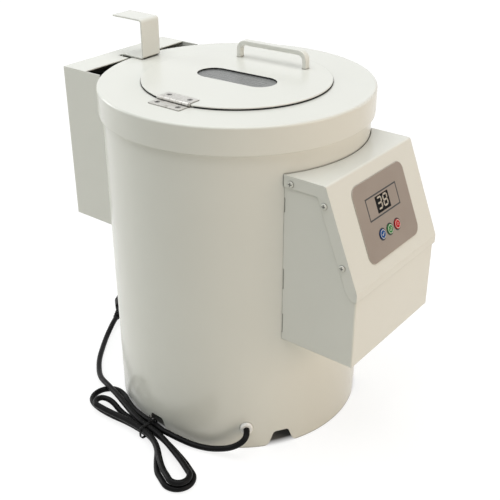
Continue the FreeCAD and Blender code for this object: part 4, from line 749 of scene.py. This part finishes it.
def strip_section():
    """Outline of the tie's strip, with round edges and a wire down its middle."""
    tip = TIE_W / 2
    flat = TIE_W * TIE_FLAT
    wire = TIE_W * TIE_WIRE
    edge = TIE_T * TIE_EDGE
    return [(-tip, 0), (-flat, edge), (-wire, edge), (0, TIE_T / 2), (wire, edge), (flat, edge), (tip, 0),
            (flat, -edge), (-flat, -edge)]


def add_strip(shape, points, sides, closed):
    """The tie's strip along points; sides gives the way its width lies at each point."""
    rings = []
    last = len(points) - 1
    for index, at in enumerate(points):
        before = points[index - 1] if closed or index else at
        after = points[(index + 1) % len(points)] if closed or index < last else at
        face = (after - before).cross(sides[index]).normalized()
        rings.append([at + sides[index] * x + face * y for x, y in strip_section()])
    add_rings(shape, rings, closed)


def band_line():
    """Middle line of the tie round the strands, as points across and up."""
    offsets = [offset for offset, layer in WAIST_STRANDS]
    room = CORD_R + TIE_GAP
    corner = TIE_CORNER_R
    left = min(offsets) - room + corner
    right = max(offsets) + room - corner
    low = WAIST_LIFT - TIE_GAP + corner
    high = layer_z(1) + WAIST_LIFT + room - corner
    line = []
    for x, z, start in ((right, low, -90), (right, high, 0), (left, high, 90), (left, low, 180)):
        for step in range(TIE_ARC_STEPS + 1):
            angle = math.radians(start + 90 * step / TIE_ARC_STEPS)
            line.append((x + corner * math.cos(angle), z + corner * math.sin(angle)))
    return line


def add_tie():
    """Wire tie: a band round the waist and its two ends twisted together."""
    along = heading(WAIST_TURN)
    right = across(along)
    shape = bmesh.new()
    band = [WAIST + right * x + UP * z for x, z in band_line()]
    add_strip(shape, band, [along] * len(band), True)
    root = WAIST + right * TIE_END_X + UP * (layer_z(1) + WAIST_LIFT + CORD_R + TIE_GAP + TIE_T)
    right_share, up_share, along_share = TIE_END_WAY
    way = (right * right_share + UP * up_share + along * along_share).normalized()
    first = way.cross(along).normalized()
    second = way.cross(first)
    for side in (0, math.pi):
        points = []
        widths = []
        for step in range(TIE_END_STEPS + 1):
            share = step / TIE_END_STEPS
            angle = side + share * TIE_END_TURNS * 2 * math.pi
            radius = TIE_END_R + TIE_END_SPLAY * max(0.0, share - TIE_END_SPLAY_FROM) ** 2
            turn = first * math.cos(angle) + second * math.sin(angle)
            points.append(root + way * (TIE_END_L * share) + turn * radius)
            widths.append(way.cross(turn) * TIE_END_NARROW)
        add_strip(shape, points, widths, False)
    tie = add_piece("wire_tie", shape, jacket, "drum", True)
    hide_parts("cord_tie")
    return tie


def add_hatch_shadow_strip():
    """Black strip round the hatch's rim, open at the hinge: painted shade standing in for the shadow in the
    gap under the rim.
    """
    shape = bmesh.new()
    rings = []
    sweep = 360 - 2 * STRIP_OPEN
    for step in range(STRIP_STEPS + 1):
        angle = 180 + STRIP_OPEN + sweep * step / STRIP_STEPS
        corners = ((HATCH_R, STRIP_LOW), (HATCH_R + STRIP_T, STRIP_LOW), (HATCH_R + STRIP_T, STRIP_HIGH),
                   (HATCH_R, STRIP_HIGH))
        rings.append([polar(radius + STRIP_GAP, angle, height) for radius, height in corners])
    add_rings(shape, rings, False)
    add_piece("hatch_shadow_strip", shape, edging, "hatch")


def slot_line(inset):
    """Round-ended outline of the viewing slot, inset from its wall."""
    radius = SLOT_W / 2 - inset
    reach = SLOT_L / 2 - SLOT_W / 2
    points = []
    for end in (0, 180):
        for step in range(SLOT_STRIP_STEPS + 1):
            at = polar(radius, end + 180 * step / SLOT_STRIP_STEPS, 0.0)
            points.append(at + Vector((0, reach if end == 0 else -reach, 0)))
    turn = Matrix.Rotation(math.radians(SLOT_TURN), 4, "Z")
    return [turn @ (SLOT_MIDDLE + at) for at in points]


def add_slot_strip():
    """Black strip on the wall of the viewing slot."""
    shape = bmesh.new()
    outer = slot_line(STRIP_GAP)
    inner = slot_line(STRIP_GAP + STRIP_T)
    levels = ((outer, SLOT_STRIP_LOW), (outer, SLOT_STRIP_HIGH), (inner, SLOT_STRIP_HIGH), (inner, SLOT_STRIP_LOW))
    add_rings(shape, [[at + UP * height for at in line] for line, height in levels], True)
    add_piece("slot_edge_strip", shape, edging, "hatch")


# Panel print

panel_down = (PANEL_FOOT - PANEL_TOP).normalized()
panel_out = panel_down.cross(Vector((1, 0, 0)))


def on_panel(x, s, lift):
    """Point on the sloping panel: across, down from the top edge and out of it."""
    return PANEL_TOP + Vector((x, 0, 0)) + panel_down * s + panel_out * lift


def add_flat(shape, outline, low, high):
    """Flat print of a closed outline on the panel."""
    add_rings(shape, [[on_panel(x, s, lift) for x, s in outline] for lift in (low, high)], False)


def add_flat_ring(shape, outer, inner, low, high):
    """Flat print between two closed outlines of as many points."""
    rings = [(outer, low), (outer, high), (inner, high), (inner, low)]
    add_rings(shape, [[on_panel(x, s, lift) for x, s in line] for line, lift in rings], True)


def circle(x, s, radius):
    """Points of a circle on the panel."""
    angles = [2 * math.pi * step / CIRCLE_STEPS for step in range(CIRCLE_STEPS)]
    return [(x + radius * math.cos(angle), s + radius * math.sin(angle)) for angle in angles]


def frame_outline(inset):
    """Corners of the printed frame round the display."""
    left = FRAME_LEFT + inset
    right = FRAME_RIGHT - inset
    high = FRAME_HIGH + inset
    low = FRAME_LOW - inset
    return [(left, high), (right, high), (right, low), (left, low)]


def add_frame_line():
    shape = bmesh.new()
    add_flat_ring(shape, frame_outline(0), frame_outline(FRAME_LINE_W), OVERLAY_TOP, OVERLAY_TOP + PRINT_T)
    add_piece("panel_frame_line", shape, plain["ink"], "drum")


def bar_outline(start, end):
    """Six-sided bar between two points of a digit."""
    first = Vector(start)
    second = Vector(end)
    way = (second - first).normalized()
    side = Vector((-way.y, way.x)) * (DIGIT_STROKE / 2)
    first = first + way * DIGIT_GAP
    second = second - way * DIGIT_GAP
    tip = way * (DIGIT_STROKE / 2)
    return [first, first + tip + side, second - tip + side, second, second - tip - side, first + tip - side]


def add_digits():
    """Two lit digits on the display."""
    shape = bmesh.new()
    width = DIGIT_W - DIGIT_STROKE
    height = DIGIT_H - DIGIT_STROKE
    top = DISPLAY_S - DIGITS_LIFT - height / 2
    for index, digit in enumerate(DIGITS):
        left = DISPLAY_X + (index - (len(DIGITS) - 1) / 2) * DIGIT_PITCH - width / 2
        for name in DIGIT_BARS[digit].split():
            ends = [(x * width, y * height) for x, y in SEGMENT_BARS[name]]
            outline = []
            for point in bar_outline(*ends):
                lean = (height / 2 - point.y) * DIGIT_SLANT
                outline.append((left + point.x + lean, top + point.y))
            add_flat(shape, outline, DISPLAY_FACE, DISPLAY_FACE + PRINT_T)
    add_piece("display_digits", shape, plain["digit_print"], "drum")


def stroke(points, width):
    """Outline of a line of even width through points."""
    left = []
    right = []
    last = len(points) - 1
    for index, point in enumerate(points):
        way = Vector(points[min(index + 1, last)]) - Vector(points[max(index - 1, 0)])
        side = Vector((-way.y, way.x)).normalized() * (width / 2)
        left.append((point[0] + side.x, point[1] + side.y))
        right.append((point[0] - side.x, point[1] - side.y))
    return left + right[::-1]


def arrow_line(start, end):
    """Points of an arrow's round shaft about the middle of a key."""
    angles = [math.radians(start + (end - start) * step / ARROW_STEPS) for step in range(ARROW_STEPS + 1)]
    return [(ARROW_R * math.cos(angle), ARROW_R * math.sin(angle)) for angle in angles]


def key_glyphs():
    """Plain marks on the keys: a tick, a turning arrow and a turning arrow the other way."""
    tick = [stroke(TICK_LINE, TICK_STROKE)]
    turn = [stroke(arrow_line(*TURN_ARC), TURN_STROKE), TURN_HEAD]
    back = [stroke(arrow_line(*BACK_ARC), BACK_STROKE), BACK_HEAD]
    return [tick, turn, back]


def add_key_prints():
    """Rings and marks on the three keys, and the line printed round each."""
    outline = bmesh.new()
    for index, (body, marks) in enumerate(zip(KEY_BODIES, key_glyphs())):
        x = (index - (len(KEY_BODIES) - 1) / 2) * BUTTON_PITCH
        add_flat_ring(outline, circle(x, BUTTON_S, OUTLINE_OUT_R), circle(x, BUTTON_S, OUTLINE_IN_R),
                      OVERLAY_TOP, OVERLAY_TOP + PRINT_T)
        ring = bmesh.new()
        add_flat_ring(ring, circle(x, BUTTON_S, RING_OUT_R), circle(x, BUTTON_S, RING_IN_R),
                      BUTTON_TOP, BUTTON_TOP + PRINT_T)
        for mark in marks:
            add_flat(ring, [(x + a, BUTTON_S + b) for a, b in mark], BUTTON_TOP, BUTTON_TOP + PRINT_T)
        add_piece(body + "_print", ring, plain["pale_print"], body)
    add_piece("key_outlines", outline, plain["ink"], "drum")


# Floor, light and camera

def seen_directly(tree):
    """1 for rays that show the background itself: camera, mirror-like and see-through rays."""
    path = tree.nodes.new("ShaderNodeLightPath")
    share = path.outputs["Is Camera Ray"]
    for name in ("Is Glossy Ray", "Is Transmission Ray"):
        larger = tree.nodes.new("ShaderNodeMath")
        larger.operation = "MAXIMUM"
        tree.links.new(share, larger.inputs[0])
        tree.links.new(path.outputs[name], larger.inputs[1])
        share = larger.outputs[0]
    return share


def add_floor():
    """White floor that keeps a faint shadow; its glow stops at the drum's foot."""
    shape = bmesh.new()
    bmesh.ops.create_grid(shape, x_segments=4, y_segments=4, size=FLOOR_SIZE / 2)
    data = bpy.data.meshes.new("floor")
    shape.to_mesh(data)
    shape.free()
    material = bpy.data.materials.new("floor")
    material.use_nodes = True
    tree = material.node_tree
    tree.nodes.clear()
    output = tree.nodes.new("ShaderNodeOutputMaterial")
    mixed = tree.nodes.new("ShaderNodeMixShader")
    both = tree.nodes.new("ShaderNodeAddShader")
    bounce = tree.nodes.new("ShaderNodeBsdfDiffuse")
    seen = tree.nodes.new("ShaderNodeBsdfDiffuse")
    glow = tree.nodes.new("ShaderNodeEmission")
    place = tree.nodes.new("ShaderNodeTexCoord")
    distance = tree.nodes.new("ShaderNodeVectorMath")
    outside = tree.nodes.new("ShaderNodeMapRange")
    far = tree.nodes.new("ShaderNodeMapRange")
    bounce.inputs["Color"].default_value = (*FLOOR_BOUNCE, 1)
    seen.inputs["Color"].default_value = (*FLOOR_SEEN, 1)
    distance.operation = "LENGTH"
    outside.inputs[1].default_value = FLOOR_GLOW_EDGE[0]
    outside.inputs[2].default_value = FLOOR_GLOW_EDGE[1]
    far.inputs[1].default_value = FLOOR_FAR[0]
    far.inputs[2].default_value = FLOOR_FAR[1]
    far.inputs[3].default_value = FLOOR_GLOW
    far.inputs[4].default_value = FLOOR_FAR_GLOW
    tree.links.new(place.outputs["Object"], distance.inputs[0])
    tree.links.new(distance.outputs["Value"], outside.inputs[0])
    tree.links.new(distance.outputs["Value"], far.inputs[0])
    tree.links.new(far.outputs[0], outside.inputs[4])
    tree.links.new(outside.outputs[0], glow.inputs["Strength"])
    tree.links.new(seen.outputs[0], both.inputs[0])
    tree.links.new(glow.outputs[0], both.inputs[1])
    tree.links.new(seen_directly(tree), mixed.inputs[0])
    tree.links.new(bounce.outputs[0], mixed.inputs[1])
    tree.links.new(both.outputs[0], mixed.inputs[2])
    tree.links.new(mixed.outputs[0], output.inputs["Surface"])
    data.materials.append(material)
    add_object("floor", data)


def add_world():
    """Even soft light, seen as white behind the object."""
    world = bpy.data.worlds.new("studio")
    bpy.context.scene.world = world
    world.use_nodes = True
    tree = world.node_tree
    tree.nodes.clear()
    output = tree.nodes.new("ShaderNodeOutputWorld")
    mixed = tree.nodes.new("ShaderNodeMixShader")
    light = tree.nodes.new("ShaderNodeBackground")
    white = tree.nodes.new("ShaderNodeBackground")
    light.inputs["Color"].default_value = (*WORLD_COLOUR, 1)
    light.inputs["Strength"].default_value = WORLD_STRENGTH
    white.inputs["Color"].default_value = (1, 1, 1, 1)
    tree.links.new(seen_directly(tree), mixed.inputs[0])
    tree.links.new(light.outputs[0], mixed.inputs[1])
    tree.links.new(white.outputs[0], mixed.inputs[2])
    tree.links.new(mixed.outputs[0], output.inputs["Surface"])


def add_light(name, at, aim, size, watts, colour):
    """Soft square light that faces a point."""
    data = bpy.data.lights.new(name, "AREA")
    data.size = size
    data.energy = watts
    data.color = colour
    light = add_object(name, data)
    light.location = at
    light.rotation_euler = (Vector(aim) - Vector(at)).to_track_quat("-Z", "Y").to_euler()


def add_camera():
    data = bpy.data.cameras.new("camera")
    data.lens = CAMERA_LENS
    data.sensor_width = CAMERA_SENSOR
    camera = add_object("camera", data)
    camera.location = CAMERA_AT
    camera.rotation_euler = (CAMERA_AIM - CAMERA_AT).to_track_quat("-Z", "Y").to_euler()
    bpy.context.scene.camera = camera


add_camera()
cord, cord_exit = add_cord()
tie = add_tie()
add_hatch_shadow_strip()
add_slot_strip()
add_frame_line()
add_digits()
add_key_prints()
add_floor()
add_world()
for light in LIGHTS:
    add_light(*light)
bpy.context.scene.view_settings.view_transform = "Standard"
